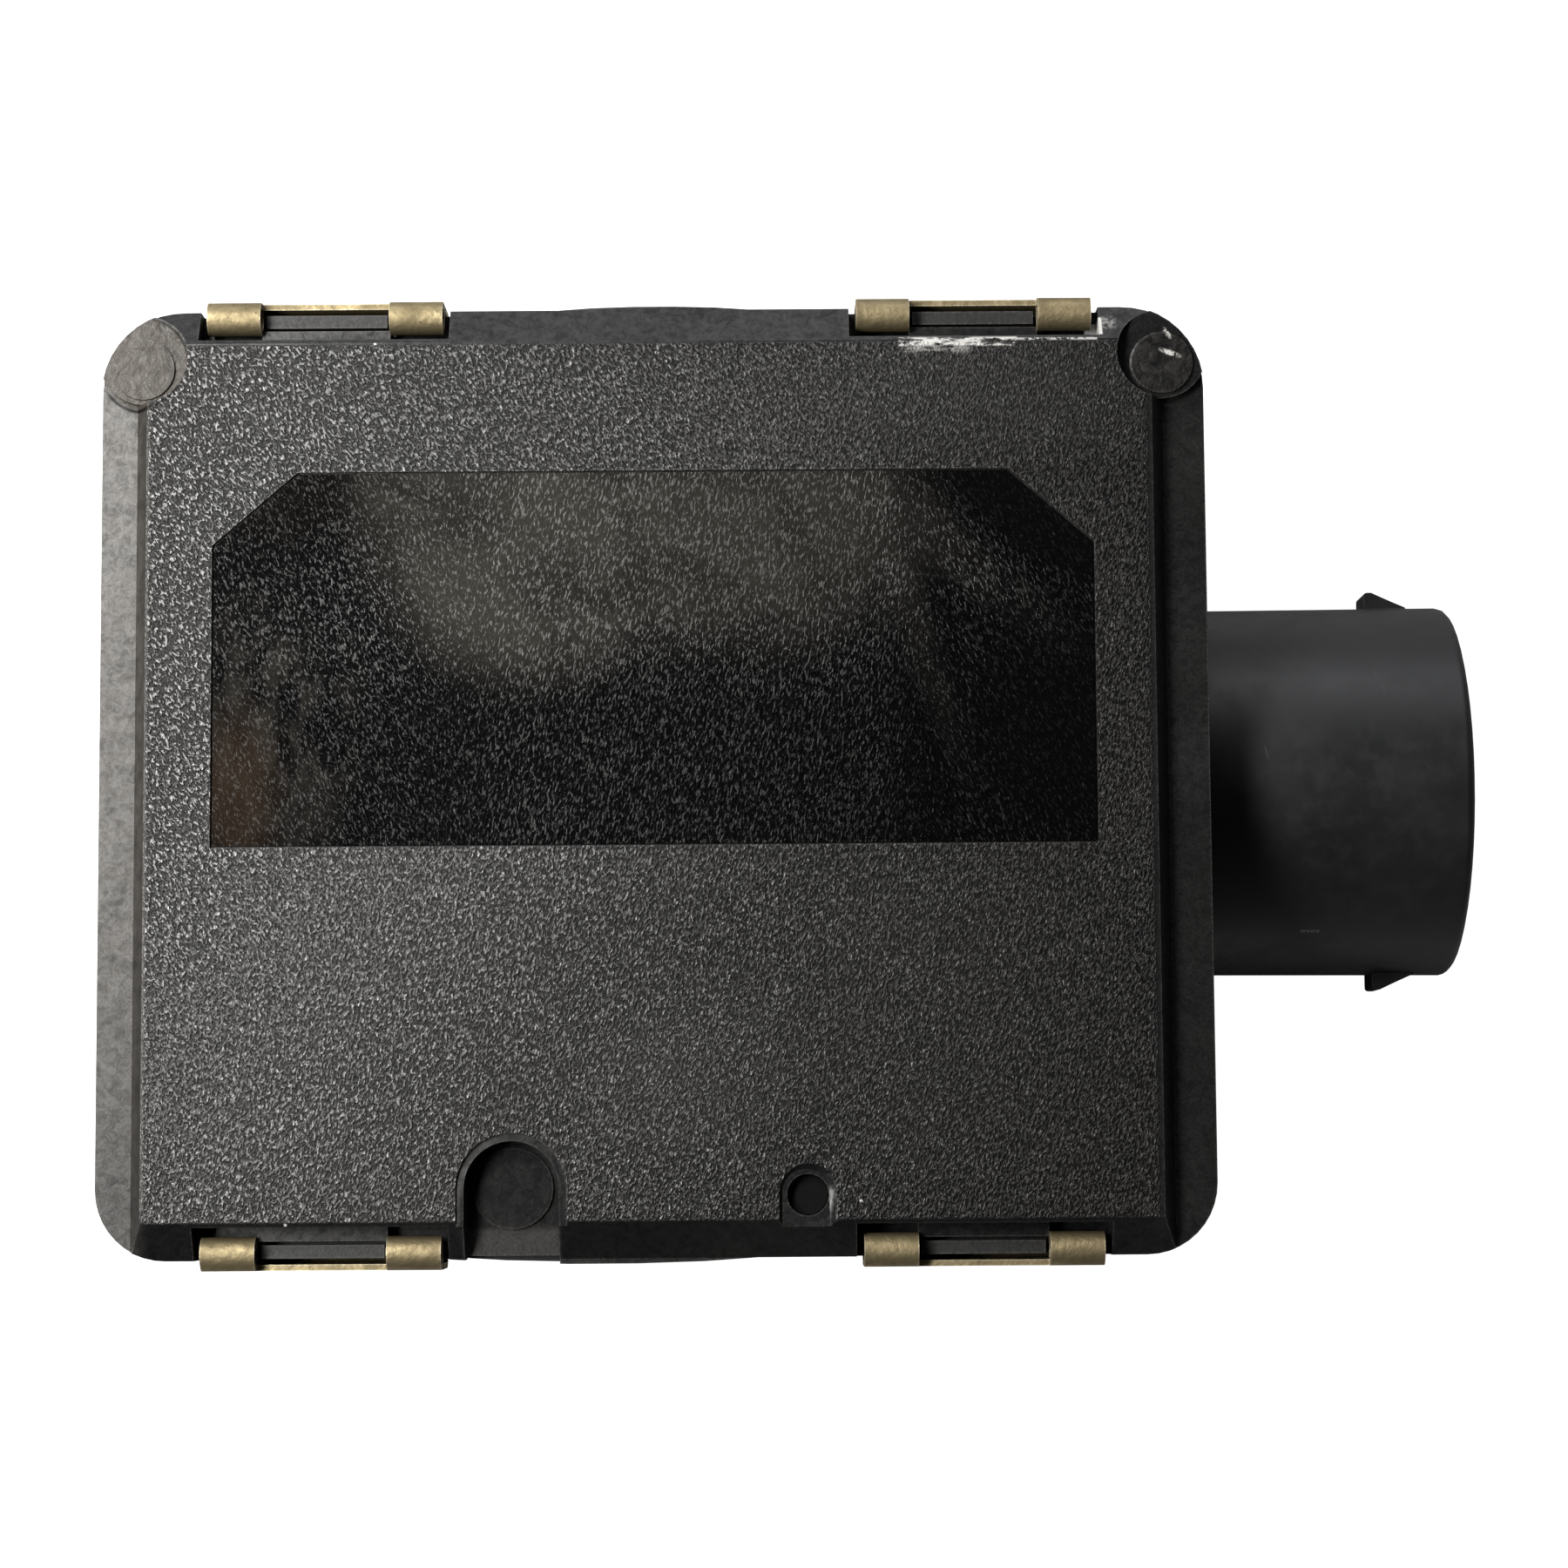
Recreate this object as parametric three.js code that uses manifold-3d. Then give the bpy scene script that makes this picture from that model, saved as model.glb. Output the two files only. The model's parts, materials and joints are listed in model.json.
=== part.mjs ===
// Electric drive unit of an automatic air vent: a sealed plastic box with a clip-on cover and a round
// plug socket. Inside, a small motor turns a square drive hub in the back through three spur gear stages.
// Millimetres. X points out of the plug socket, Z out of the cover; the origin is the centre of the back.

import * as THREE from 'three';
import { mergeVertices } from 'three/addons/utils/BufferGeometryUtils.js';
import Module from 'manifold-3d';

const wasm = await Module();
wasm.setup();

// ---- Driving dimensions ------------------------------------------------------------------------

const ARC_STEPS = 5;
const FINE_ARC_STEPS = 14;
const FINE = 32;
const ROUND = 24;
const SMALL = 12;
const TINY = 8;
const HEX = 6;

// Clearance between pieces that touch, how far a cutting body overshoots, and how far joined bodies sink in
const GAP = 0.05;
const OVER = 1;
const SINK = 1;

// Outline shared by the cover and the case flange
const BODY_HALF_X = 46.25;
const BODY_HALF_Y = 39.65;
const LOW_CORNER_R = 5.9;
const TOP_CORNER_R = 7;
const TOP_BUMP = { left: -8, right: 8, height: 0.3 };
const LOW_BUMP = { left: -17, right: 8.4, height: 0.45 };

// Heights of the main levels
const FLOOR_Z = 3;
const CASE_FLANGE_Z = 34.5;
const PARTING_Z = 37.5;
const FLANGE_Z = 40;
const PLATEAU_Z = 42;
const CEILING_Z = 39.9;

// Cover
const PLATEAU_X = -0.25;
const PLATEAU_HALF_X = 41.95;
const PLATEAU_HALF_Y = 36.55;
const SIDE_SLOPE = 1.1;
const COVER_CAVITY = { x: 39.5, y: 33.7, r: 3 };
const SKIRT = { x: 40.7, y: 34.9, r: 3.6, z: 36 };
const CORNER_POCKET = { x: 42.65, y: 35.45, r: 3.8, z: 40.7 };
const CORNER_PAD = { x: 42.7, y: 34.65, r: 2.6, z: 40.95 };
const NOTCH = { x: -11.85, y: -33.9, r: 3.9, lip: 0.66, lipDepth: 0.25, floorZ: 39.3, padR: 3.35 };
const NOTCH_PAD_HEIGHT = 0.25;
const NOTCH_SETBACK = 0.25;
const NOTCH_BOSS_WALL = 2;
const BREATHER = { x: 12.52, y: -34.4, r: 2.43, floorX: 12.31, floorR: 1.95, floorZ: 41.62 };
const BREATHER_SEAT = { x: 12.45, y: -34.55, r: 1.7, z: 40.2, ductR: 0.8 };
const MEMBRANE_THICK = 0.5;
const LABEL = { halfX: 36.7, low: -5.75, high: 25.6, chamferX: 7.1, chamferY: 6.1, depth: 0.35 };
const LABEL_THICK = 0.2;
const LABEL_INSET = 0.12;

// Case
const CASE_HALF_X = 43.2;
const CASE_HALF_Y = 37.4;
const CASE_WALL = 2.2;
const CASE_CORNER_R = 4.2;
const CASE_FLANGE_INSET = 0.12;
const GASKET = { x: 43.3, y: 37.5, r: 4, wide: 1.4, low: 36.4 };
const SIDE_RIB = { thick: 1.4, reach: 1.7, low: 9 };
const SIDE_RIB_XS = [-41, -12.5, 0, 12.5, 41];

// Spring clips
const CLIP_XS = [-27.55, 26.95];
const CLIP_HALF = 9.88;
const CLIP_SHEET = 0.5;
const CLIP_WINDOW_HALF = 5.4;
const CLIP_BEND_R = 0.5;
const ROLL_R = 1.4;
const ROLL_Y = 39.1;
const ROLL_Z = 39.75;
const ROLL_SEAM = { gap: 0.45, at: -0.3 };
const HOOK_TIP_Y = 38.4;
const HOOK_Z = 34.2;
const CLIP_WEB_TOP = 39.2;
const CLIP_POCKET = { half: 10.48, back: 36.9, padZ: 38, ledgeZ: 39.6, windowBack: 38.1 };
const CASE_RIB = { half: 5.1, inner: 38.4, outer: 39.5, top: 39.3 };

// Plug socket on the right side
const SOCKET_Y = 0.47;
const SOCKET_Z = 18;
const SOCKET = { r: 16.35, rootR: 16.2, boreR: 13.9, mouth: 69.5, collar: 44, face: 46.5 };
const SPIGOT = { r: 12.3, inner: 38 };
const SOCKET_RIM = { r: 0.8, steps: 3 };
const SOCKET_SIDES = 48;
const LATCH = { start: 62.5, top: 63.2, end: 66.2, height: 1.3, half: 2.2, round: 0.35, belly: 0.45 };
const SOCKET_HOLE_R = 12.45;
const SOCKET_SEAL_R = 15.6;
const NUT = { x: 38.2, thick: 2.75, acrossFlats: 29, boreR: 12.4 };
const PIN = { r: 1.2, tip: 60, ringR: 6.5, count: 6, shoulder: 41, clearance: 0.1 };
const PIN_TAIL = { half: 0.5, x: 34.8, rowStep: 0.9, bendR: 1.6, start: 41.5, overrun: 1.2, clearance: 0.15 };

// Circuit board
const BOARD = { left: -11, right: 37.4, halfY: 33.4, z: 27, thick: 1.6, corner: 2 };
const BOARD_TOP = BOARD.z + BOARD.thick + GAP;
const BOARD_POSTS = [[-6, -31], [31, -30], [27, 31], [-6, 31]];
const BOARD_SCREW = { headR: 2.3, headH: 1.4, r: 1, length: 7 };
const BOARD_POST_R = 2.6;
const SCREW_CLEARANCE = 0.2;
const SCREW_SOCKET_SHARE = 0.5;
const CONTROLLER_CHIP = { x: 9, y: 14, sizeX: 10, sizeY: 10, high: 1.4 };
const DRIVER_CHIP = { x: 2, y: -19, sizeX: 7, sizeY: 9, high: 2 };
const POSITION_SENSOR = { halfX: 2.5, halfY: 2, thick: 1.2 };
const CAPACITOR = { r: 4, high: 8.5 };
const CAPACITORS = { left: [-4, 19], right: [25, -19] };
const INDUCTOR = { x: 24, y: 17, sizeX: 9, sizeY: 9, high: 1.2, coilR: 4.2, coilHigh: 4.5 };

// Gear train
const PRESSURE_ANGLE = THREE.MathUtils.degToRad(20);
const TOOTH_THINNING = 0.08;
const STRAIGHT_FLANK_TEETH = 40;
const OUTPUT = { x: 12, y: -10, teeth: 48, low: 12, high: 16 };
const STAGE_3 = { module: 0.8, pinion: 12, shift: 0.35, angle: THREE.MathUtils.degToRad(140) };
const STAGE_2 = { module: 0.7, pinion: 12, wheel: 42, shift: 0.35, angle: THREE.MathUtils.degToRad(160) };
const STAGE_1 = { module: 0.6, pinion: 10, wheel: 40, shift: 0.45, angle: THREE.MathUtils.degToRad(-100) };
const FIRST_IDLER = { wheelLow: 4, wheelHigh: 7, pinionHigh: 11.5 };
const SECOND_IDLER = { hubLow: 3.8, hubR: 3.4, wheelLow: 8, wheelHigh: 11, pinionHigh: 16.6 };
const MOTOR_PINION = { low: 3.9, high: 7.4 };
const AXLE_R = 1.5;
const AXLE_LOW = 1;
const AXLE_END = 0.9;
const RUNNING = 0.06;
const AXLE_BOSS = { r: 3, high: 3.7 };
const AXLE_CLIP = { low: 16.75, high: 17.35, r: 3.2 };

// Output hub and its bearing in the floor
const HUB = { r: 6.5, low: 0.3, hexR: 5.2, hexHigh: 16.2, stemR: 4, stemHigh: 22 };
const DRIVE = { side: 7, deep: 10 };
const HUB_BOSS = { r: 10.5, high: 7.7 };
const BUSH = { r: 7.9, low: 3.15 };
const SEAL = { r: 9.1, low: 0.5 };
const MAGNET = { r: 4.5, high: 25 };
const HUB_CLIP = { r: 6.2, high: 17, slot: 2.4 };

// Motor and bracket
const BRACKET = { low: 12.3, high: 13.8 };
const BRACKET_OUTLINE = [
  [-40.4, -18.6], [-13.4, -19.6], [-13.2, -2], [-15.5, 12],
  [-20.4, 31.4], [-28, 31.4], [-40.4, 10],
];
const BRACKET_SCREWS = [[-38, -16], [-16, -17], [-24.15, 28.5]];
const BRACKET_SCREW = { headR: 2.1, headH: 1.3, r: 0.95, length: 6 };
const BRACKET_POST_R = 2.4;
const MOTOR = { r: 12, wall: 1, high: 34.4, noseR: 3, noseLow: 12.7, shaftR: 1, shaftHigh: 32.5 };
const SHAFT_CLEARANCE = 0.1;
const END_CAP = { high: 36.4, plug: 1.2 };
const ARMATURE = { r: 9.2, low: 17, high: 31 };
const MOTOR_SCREW = { spread: 8, headR: 1.8, headH: 0.9, r: 0.85, length: 2.5 };
const LEAD = { r: 0.6, spread: 4, steps: 14, arcSteps: 3 };
// The path of a lead as (x, height) from the motor axis and end cap, then from the board's left edge and top
const LEAD_FROM_CAP = [[3, 0.5], [5, 2], [10, 1.9]];
const LEAD_TO_BOARD = [[0.5, 6.5], [3, 0.5]];

// Threaded inserts in the back
const INSERT = { r: 3, holeR: 1.65, low: 0, high: 8 };
const INSERT_POST = { r: 4.9, high: 11.5 };
const INSERTS = { left: [-36.5, 30.7], right: [36.5, 30.7], bottom: [-11.8, -30.5] };

// ---- Materials ---------------------------------------------------------------------------------

function paint(color, roughness, metalness = 0) {
  return new THREE.MeshStandardMaterial({ color, roughness, metalness });
}


const PLASTIC = paint(0x2e2d2d, 0.6);
const SATIN_PLASTIC = paint(0x26262a, 0.5);
const FILM = paint(0x141414, 0.3);
const RUBBER = paint(0x161616, 0.85);
const MEMBRANE = paint(0x1b1b1d, 0.95);
const BRONZE = paint(0x97875f, 0.35, 1);
const BRASS = paint(0xb89a55, 0.35, 1);
const STEEL = paint(0xa8abae, 0.35, 1);
const ZINC = paint(0x8f9498, 0.45, 1);
const GREY_GEAR = paint(0xd8d4c6, 0.55);
const BOARD_GREEN = paint(0x1d5a35, 0.5);
const CHIP = paint(0x18181a, 0.55);
const ALUMINIUM = paint(0xb9bcbf, 0.35, 1);
const FERRITE = paint(0x3a3a3e, 0.7);
const COPPER = paint(0xa5603a, 0.4, 1);
const RED_LEAD = paint(0xa02a22, 0.6);
const BLACK_LEAD = paint(0x1c1c1c, 0.6);

// ---- Solids: three.js shapes, joined and cut -----------------------------------------------------

function solid(geometry) {
  const bare = geometry.index ? geometry.toNonIndexed() : geometry.clone();
  bare.deleteAttribute('normal');
  bare.deleteAttribute('uv');
  const merged = mergeVertices(bare);
  const vertProperties = Float32Array.from(merged.attributes.position.array);
  const triVerts = Uint32Array.from(merged.index.array);
  return new wasm.Manifold(new wasm.Mesh({ numProp: 3, vertProperties, triVerts }));
}

function geometryOf(manifold) {
  const { vertProperties, triVerts } = manifold.getMesh();
  const geometry = new THREE.BufferGeometry();
  geometry.setAttribute('position', new THREE.BufferAttribute(Float32Array.from(vertProperties), 3));
  geometry.setIndex(new THREE.BufferAttribute(Uint32Array.from(triVerts), 1));
  geometry.computeVertexNormals();
  return geometry;
}

function prism(shape, low, high, arcSteps = ARC_STEPS) {
  const geometry = new THREE.ExtrudeGeometry(shape, {
    depth: high - low,
    bevelEnabled: false,
    curveSegments: arcSteps,
  });
  return solid(geometry.translate(0, 0, low));
}

// A profile drawn in (Y, Z) and extruded along X
function prismAlongX(shape, from, to, arcSteps = ARC_STEPS) {
  const geometry = new THREE.ExtrudeGeometry(shape, {
    depth: to - from,
    bevelEnabled: false,
    curveSegments: arcSteps,
  });
  const turn = new THREE.Matrix4().makeBasis(
    new THREE.Vector3(0, 1, 0),
    new THREE.Vector3(0, 0, 1),
    new THREE.Vector3(1, 0, 0),
  );
  return solid(geometry.applyMatrix4(turn).translate(from, 0, 0));
}

// A profile drawn in (X, Z) and extruded along Y
function prismAlongY(shape, from, to) {
  const geometry = new THREE.ExtrudeGeometry(shape, { depth: to - from, bevelEnabled: false });
  return solid(geometry.rotateX(Math.PI / 2).translate(0, to, 0));
}

function block(x0, x1, y0, y1, z0, z1) {
  const geometry = new THREE.BoxGeometry(x1 - x0, y1 - y0, z1 - z0);
  return solid(geometry.translate((x0 + x1) / 2, (y0 + y1) / 2, (z0 + z1) / 2));
}

function rod(r, low, high, x = 0, y = 0, sides = ROUND) {
  const geometry = new THREE.CylinderGeometry(r, r, high - low, sides);
  return solid(geometry.rotateX(Math.PI / 2).translate(x, y, (low + high) / 2));
}

// A rod along X on the plug socket's axis, shifted sideways by (dy, dz), with corners at both sides
function socketRod(r, from, to, sides = ROUND, dy = 0, dz = 0) {
  const geometry = new THREE.CylinderGeometry(r, r, to - from, sides).rotateY(Math.PI / 2);
  return solid(geometry.rotateZ(-Math.PI / 2).translate((from + to) / 2, SOCKET_Y + dy, SOCKET_Z + dz));
}

function tube(outerR, innerR, low, high, sides = ROUND) {
  return turned([[innerR, low], [outerR, low], [outerR, high], [innerR, high], [innerR, low]], sides);
}

// A closed (radius, height) profile turned about Z
function turned(profile, sides = ROUND) {
  const points = profile.map(([r, z]) => new THREE.Vector2(r, z));
  return solid(new THREE.LatheGeometry(points, sides).rotateX(Math.PI / 2));
}

function roundedRect(halfX, halfY, r) {
  const shape = new THREE.Shape();
  shape.absarc(halfX - r, halfY - r, r, 0, Math.PI / 2);
  shape.absarc(-halfX + r, halfY - r, r, Math.PI / 2, Math.PI);
  shape.absarc(-halfX + r, -halfY + r, r, Math.PI, 1.5 * Math.PI);
  shape.absarc(halfX - r, -halfY + r, r, 1.5 * Math.PI, 2 * Math.PI);
  return shape;
}

function polygon(points) {
  return new THREE.Shape(points.map(([x, y]) => new THREE.Vector2(x, y)));
}

// A slot with a round end at (x, y) that runs straight down to yEnd
function uShape(x, y, r, yEnd) {
  const shape = new THREE.Shape();
  shape.moveTo(x - r, yEnd);
  shape.lineTo(x + r, yEnd);
  shape.absarc(x, y, r, 0, Math.PI);
  return shape;
}

// Adds to a shape a shallow bump from one x to another beside the straight edge at y
function bumpTo(shape, fromX, toX, y, height) {
  const control = y + (Math.sign(y) * height) / 0.75;
  const reach = (toX - fromX) / 4;
  shape.lineTo(fromX, y);
  shape.bezierCurveTo(fromX + reach, control, toX - reach, control, toX, y);
}

// The outline of the cover and of the case flange, with a slight bump on its two long edges
function outlineShape(inset = 0) {
  const x = BODY_HALF_X - inset;
  const y = BODY_HALF_Y - inset;
  const low = LOW_CORNER_R - inset;
  const top = TOP_CORNER_R - inset;
  const shape = new THREE.Shape();
  shape.moveTo(-x + low, -y);
  bumpTo(shape, LOW_BUMP.left, LOW_BUMP.right, -y, LOW_BUMP.height);
  shape.absarc(x - low, -y + low, low, -Math.PI / 2, 0);
  shape.absarc(x - top, y - top, top, 0, Math.PI / 2);
  bumpTo(shape, TOP_BUMP.right, TOP_BUMP.left, y, TOP_BUMP.height);
  shape.absarc(-x + top, y - top, top, Math.PI / 2, Math.PI);
  shape.absarc(-x + low, -y + low, low, Math.PI, 1.5 * Math.PI);
  return shape;
}

// ---- Gears ---------------------------------------------------------------------------------------

// Involute teeth, thinned for backlash. Tooth 0 is centred on the angle phase.
function gearShape(teeth, module, shift, phase) {
  const pitchR = (module * teeth) / 2;
  const baseR = pitchR * Math.cos(PRESSURE_ANGLE);
  const tipR = pitchR + module * (1 + shift);
  const rootR = pitchR - module * (1.25 - shift);
  const involute = (angle) => Math.tan(angle) - angle;
  const pitchHalf =
    (Math.PI / 2 + 2 * shift * Math.tan(PRESSURE_ANGLE)) / teeth - TOOTH_THINNING / (2 * pitchR);
  const halfAngle = (r) =>
    pitchHalf + involute(PRESSURE_ANGLE) - involute(Math.acos(Math.min(1, baseR / r)));
  const startR = Math.max(baseR, rootR);
  const middleR = (startR + tipR) / 2;
  const curved = teeth < STRAIGHT_FLANK_TEETH;
  const flank = [
    [rootR, halfAngle(startR)],
    ...(curved ? [[middleR, halfAngle(middleR)]] : []),
    [tipR, halfAngle(tipR)],
  ];
  const points = [];
  for (let tooth = 0; tooth < teeth; tooth += 1) {
    const centre = phase + (2 * Math.PI * tooth) / teeth;
    const rising = flank.map(([r, half]) => [r, centre - half]);
    const falling = flank.map(([r, half]) => [r, centre + half]).reverse();
    for (const [r, angle] of [...rising, ...falling]) {
      points.push([r * Math.cos(angle), r * Math.sin(angle)]);
    }
  }
  return polygon(points);
}

// The phase of a gear that meshes with a neighbour, which lies at the given angle from that neighbour
function meshPhase(neighbourPhase, neighbourTeeth, angle, teeth) {
  const offset = ((angle - neighbourPhase) * neighbourTeeth) / (2 * Math.PI);
  return angle + Math.PI - (2 * Math.PI * (0.5 - offset)) / teeth;
}

function stepTo(from, stage, teeth) {
  const distance = (stage.module * (stage.pinion + teeth)) / 2;
  return {
    x: from.x + distance * Math.cos(stage.angle),
    y: from.y + distance * Math.sin(stage.angle),
  };
}

const SECOND_AXLE = stepTo(OUTPUT, STAGE_3, OUTPUT.teeth);
const FIRST_AXLE = stepTo(SECOND_AXLE, STAGE_2, STAGE_2.wheel);
const MOTOR_AXIS = stepTo(FIRST_AXLE, STAGE_1, STAGE_1.wheel);

function outputGear() {
  const wheel = prism(gearShape(OUTPUT.teeth, STAGE_3.module, -STAGE_3.shift, 0), OUTPUT.low, OUTPUT.high);
  const hexHole = rod(HUB.hexR + GAP, OUTPUT.low - OVER, OUTPUT.high + OVER, 0, 0, HEX);
  return wheel.subtract(hexHole);
}

function secondIdlerGear() {
  const { hubLow, hubR, wheelLow, wheelHigh, pinionHigh } = SECOND_IDLER;
  const phase = meshPhase(0, OUTPUT.teeth, STAGE_3.angle, STAGE_3.pinion);
  const pinion = prism(
    gearShape(STAGE_3.pinion, STAGE_3.module, STAGE_3.shift, phase), wheelLow + SINK, pinionHigh);
  const wheel = prism(gearShape(STAGE_2.wheel, STAGE_2.module, -STAGE_2.shift, 0), wheelLow, wheelHigh);
  const hub = rod(hubR, hubLow, wheelLow + SINK);
  const bore = rod(AXLE_R + RUNNING, hubLow - OVER, pinionHigh + OVER);
  return pinion.add(wheel).add(hub).subtract(bore);
}

function firstIdlerGear() {
  const { wheelLow, wheelHigh, pinionHigh } = FIRST_IDLER;
  const phase = meshPhase(0, STAGE_2.wheel, STAGE_2.angle, STAGE_2.pinion);
  const pinion = prism(
    gearShape(STAGE_2.pinion, STAGE_2.module, STAGE_2.shift, phase), wheelLow + SINK, pinionHigh);
  const wheel = prism(gearShape(STAGE_1.wheel, STAGE_1.module, -STAGE_1.shift, 0), wheelLow, wheelHigh);
  const bore = rod(AXLE_R + RUNNING, wheelLow - OVER, pinionHigh + OVER);
  return pinion.add(wheel).subtract(bore);
}

function motorPinion() {
  const phase = meshPhase(0, STAGE_1.wheel, STAGE_1.angle, STAGE_1.pinion);
  const pinion = prism(
    gearShape(STAGE_1.pinion, STAGE_1.module, STAGE_1.shift, phase), MOTOR_PINION.low, MOTOR_PINION.high);
  const bore = rod(MOTOR.shaftR + GAP, MOTOR_PINION.low - OVER, MOTOR_PINION.high + OVER, 0, 0, SMALL);
  return pinion.subtract(bore);
}

// ---- Cover and label -----------------------------------------------------------------------------

// Calls place(x, sideY) for each of the four clips
function forEachClip(place) {
  for (const side of [-1, 1]) {
    for (const x of CLIP_XS) {
      place(x, side);
    }
  }
}

function sideBlock(x0, x1, inner, outer, z0, z1, side) {
  const [low, high] = side > 0 ? [inner, outer] : [-outer, -inner];
  return block(x0, x1, low, high, z0, z1);
}

function plateau() {
  const slopeProfile = (topHalf, footHalf) => polygon([
    [-footHalf, PARTING_Z],
    [footHalf, PARTING_Z],
    [footHalf, FLANGE_Z],
    [topHalf, PLATEAU_Z],
    [-topHalf, PLATEAU_Z],
    [-footHalf, FLANGE_Z],
  ]);
  const acrossY = prismAlongX(slopeProfile(PLATEAU_HALF_Y, BODY_HALF_Y), -BODY_HALF_X, BODY_HALF_X);
  const acrossX = prismAlongY(
    slopeProfile(PLATEAU_HALF_X, PLATEAU_HALF_X + SIDE_SLOPE), -BODY_HALF_Y, BODY_HALF_Y)
    .translate([PLATEAU_X, 0, 0]);
  return acrossY.intersect(acrossX).intersect(prism(outlineShape(), PARTING_Z, PLATEAU_Z));
}

function clipPockets() {
  const { half, back, padZ, ledgeZ, windowBack } = CLIP_POCKET;
  const outside = BODY_HALF_Y + OVER;
  const above = PLATEAU_Z + OVER;
  const cuts = [];
  forEachClip((x, side) => {
    cuts.push(sideBlock(x - half, x + half, back, outside, ledgeZ, above, side));
    cuts.push(sideBlock(x - half, x - CLIP_WINDOW_HALF, back, outside, padZ, above, side));
    cuts.push(sideBlock(x + CLIP_WINDOW_HALF, x + half, back, outside, padZ, above, side));
    cuts.push(sideBlock(
      x - CLIP_WINDOW_HALF, x + CLIP_WINDOW_HALF, windowBack, outside, PARTING_Z - OVER, above, side));
  });
  return cuts;
}

function labelShape(inset = 0) {
  const halfX = LABEL.halfX - inset;
  const low = LABEL.low + inset;
  const high = LABEL.high - inset;
  return polygon([
    [-halfX, low],
    [halfX, low],
    [halfX, high - LABEL.chamferY],
    [halfX - LABEL.chamferX, high],
    [-halfX + LABEL.chamferX, high],
    [-halfX, high - LABEL.chamferY],
  ]);
}

function withCornerPads(body) {
  const { x, y, r, z } = CORNER_POCKET;
  const outline = prism(outlineShape(), PARTING_Z, PLATEAU_Z);
  let result = body;
  for (const side of [-1, 1]) {
    const step = rod(r, PARTING_Z, z, side * x, y, FINE).intersect(outline);
    const pocket = rod(r, z, PLATEAU_Z + OVER, side * x, y, FINE);
    const pad = rod(CORNER_PAD.r, PARTING_Z, CORNER_PAD.z, side * CORNER_PAD.x, CORNER_PAD.y, ROUND);
    result = result.subtract(pocket).add(step).add(pad);
  }
  return result;
}

// The big notch is open to the lower edge and holds a round pad on its floor
function withNotch(body) {
  const { x, y, r, lip, lipDepth, floorZ, padR } = NOTCH;
  const edge = -BODY_HALF_Y - OVER;
  const above = PLATEAU_Z + OVER;
  const lipCut = prism(uShape(x, y, r + lip, edge), PLATEAU_Z - lipDepth, above, FINE_ARC_STEPS);
  const wellCut = prism(uShape(x, y, r, edge), floorZ, above, FINE_ARC_STEPS);
  const setback = block(x - r, x + r, edge, -BODY_HALF_Y + NOTCH_SETBACK, PARTING_Z - OVER, above);
  const pad = rod(padR, floorZ - SINK, floorZ + NOTCH_PAD_HEIGHT, x, y, ROUND);
  return body.subtract(lipCut).subtract(wellCut).subtract(setback).add(pad);
}

// The breather pocket has drafted walls and ends on the sloped shoulder; its duct leads into the case
function withBreather(body) {
  const { x, y, r, floorX, floorR, floorZ } = BREATHER;
  const edge = -BODY_HALF_Y - OVER;
  const above = PLATEAU_Z + OVER;
  const draft = (above - PLATEAU_Z) / (PLATEAU_Z - floorZ);
  const wideR = r + (r - floorR) * draft;
  const wideX = x + (x - floorX) * draft;
  const mouth = prism(uShape(wideX, y, wideR, edge), above, above + GAP, TINY);
  const bottom = prism(uShape(floorX, y, floorR, edge), floorZ, floorZ + GAP, TINY);
  const seat = BREATHER_SEAT;
  return body
    .subtract(wasm.Manifold.hull([mouth, bottom]))
    .subtract(rod(seat.r, seat.z, above, seat.x, seat.y, ROUND))
    .subtract(rod(seat.ductR, SKIRT.z - OVER, above, seat.x, seat.y, TINY));
}

function cover() {
  let body = prism(outlineShape(), PARTING_Z, FLANGE_Z).add(plateau());
  const cavityShape = roundedRect(COVER_CAVITY.x, COVER_CAVITY.y, COVER_CAVITY.r);
  const bossShape = uShape(NOTCH.x, NOTCH.y, NOTCH.r + NOTCH_BOSS_WALL, -BODY_HALF_Y);
  const notchBoss = prism(bossShape, SKIRT.z, PLATEAU_Z);
  const cavity = prism(cavityShape, SKIRT.z, CEILING_Z).subtract(notchBoss);
  const skirt = prism(roundedRect(SKIRT.x, SKIRT.y, SKIRT.r), SKIRT.z, PARTING_Z + SINK)
    .subtract(prism(cavityShape, SKIRT.z - OVER, CEILING_Z));
  body = body.subtract(cavity).add(skirt);
  for (const cut of clipPockets()) {
    body = body.subtract(cut);
  }
  body = withCornerPads(body);
  body = withNotch(body);
  body = withBreather(body);
  return body.subtract(prism(labelShape(), PLATEAU_Z - LABEL.depth, PLATEAU_Z + OVER));
}

function ratingLabel() {
  const low = PLATEAU_Z - LABEL.depth + GAP;
  return prism(labelShape(LABEL_INSET), low, low + LABEL_THICK);
}

function ventMembrane() {
  const low = BREATHER_SEAT.z + GAP;
  return rod(BREATHER_SEAT.r - GAP, low, low + MEMBRANE_THICK, BREATHER_SEAT.x, BREATHER_SEAT.y, ROUND);
}

// ---- Case and gasket -----------------------------------------------------------------------------

function frameRing(halfX, halfY, r, wide, low, high) {
  const inner = prism(roundedRect(halfX - wide, halfY - wide, r - wide), low - OVER, high + OVER);
  return prism(roundedRect(halfX, halfY, r), low, high).subtract(inner);
}

function coverGasket() {
  const { x, y, r, wide, low } = GASKET;
  return frameRing(x - GAP, y - GAP, r - GAP, wide - 2 * GAP, low + GAP, PARTING_Z - GAP);
}

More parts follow.
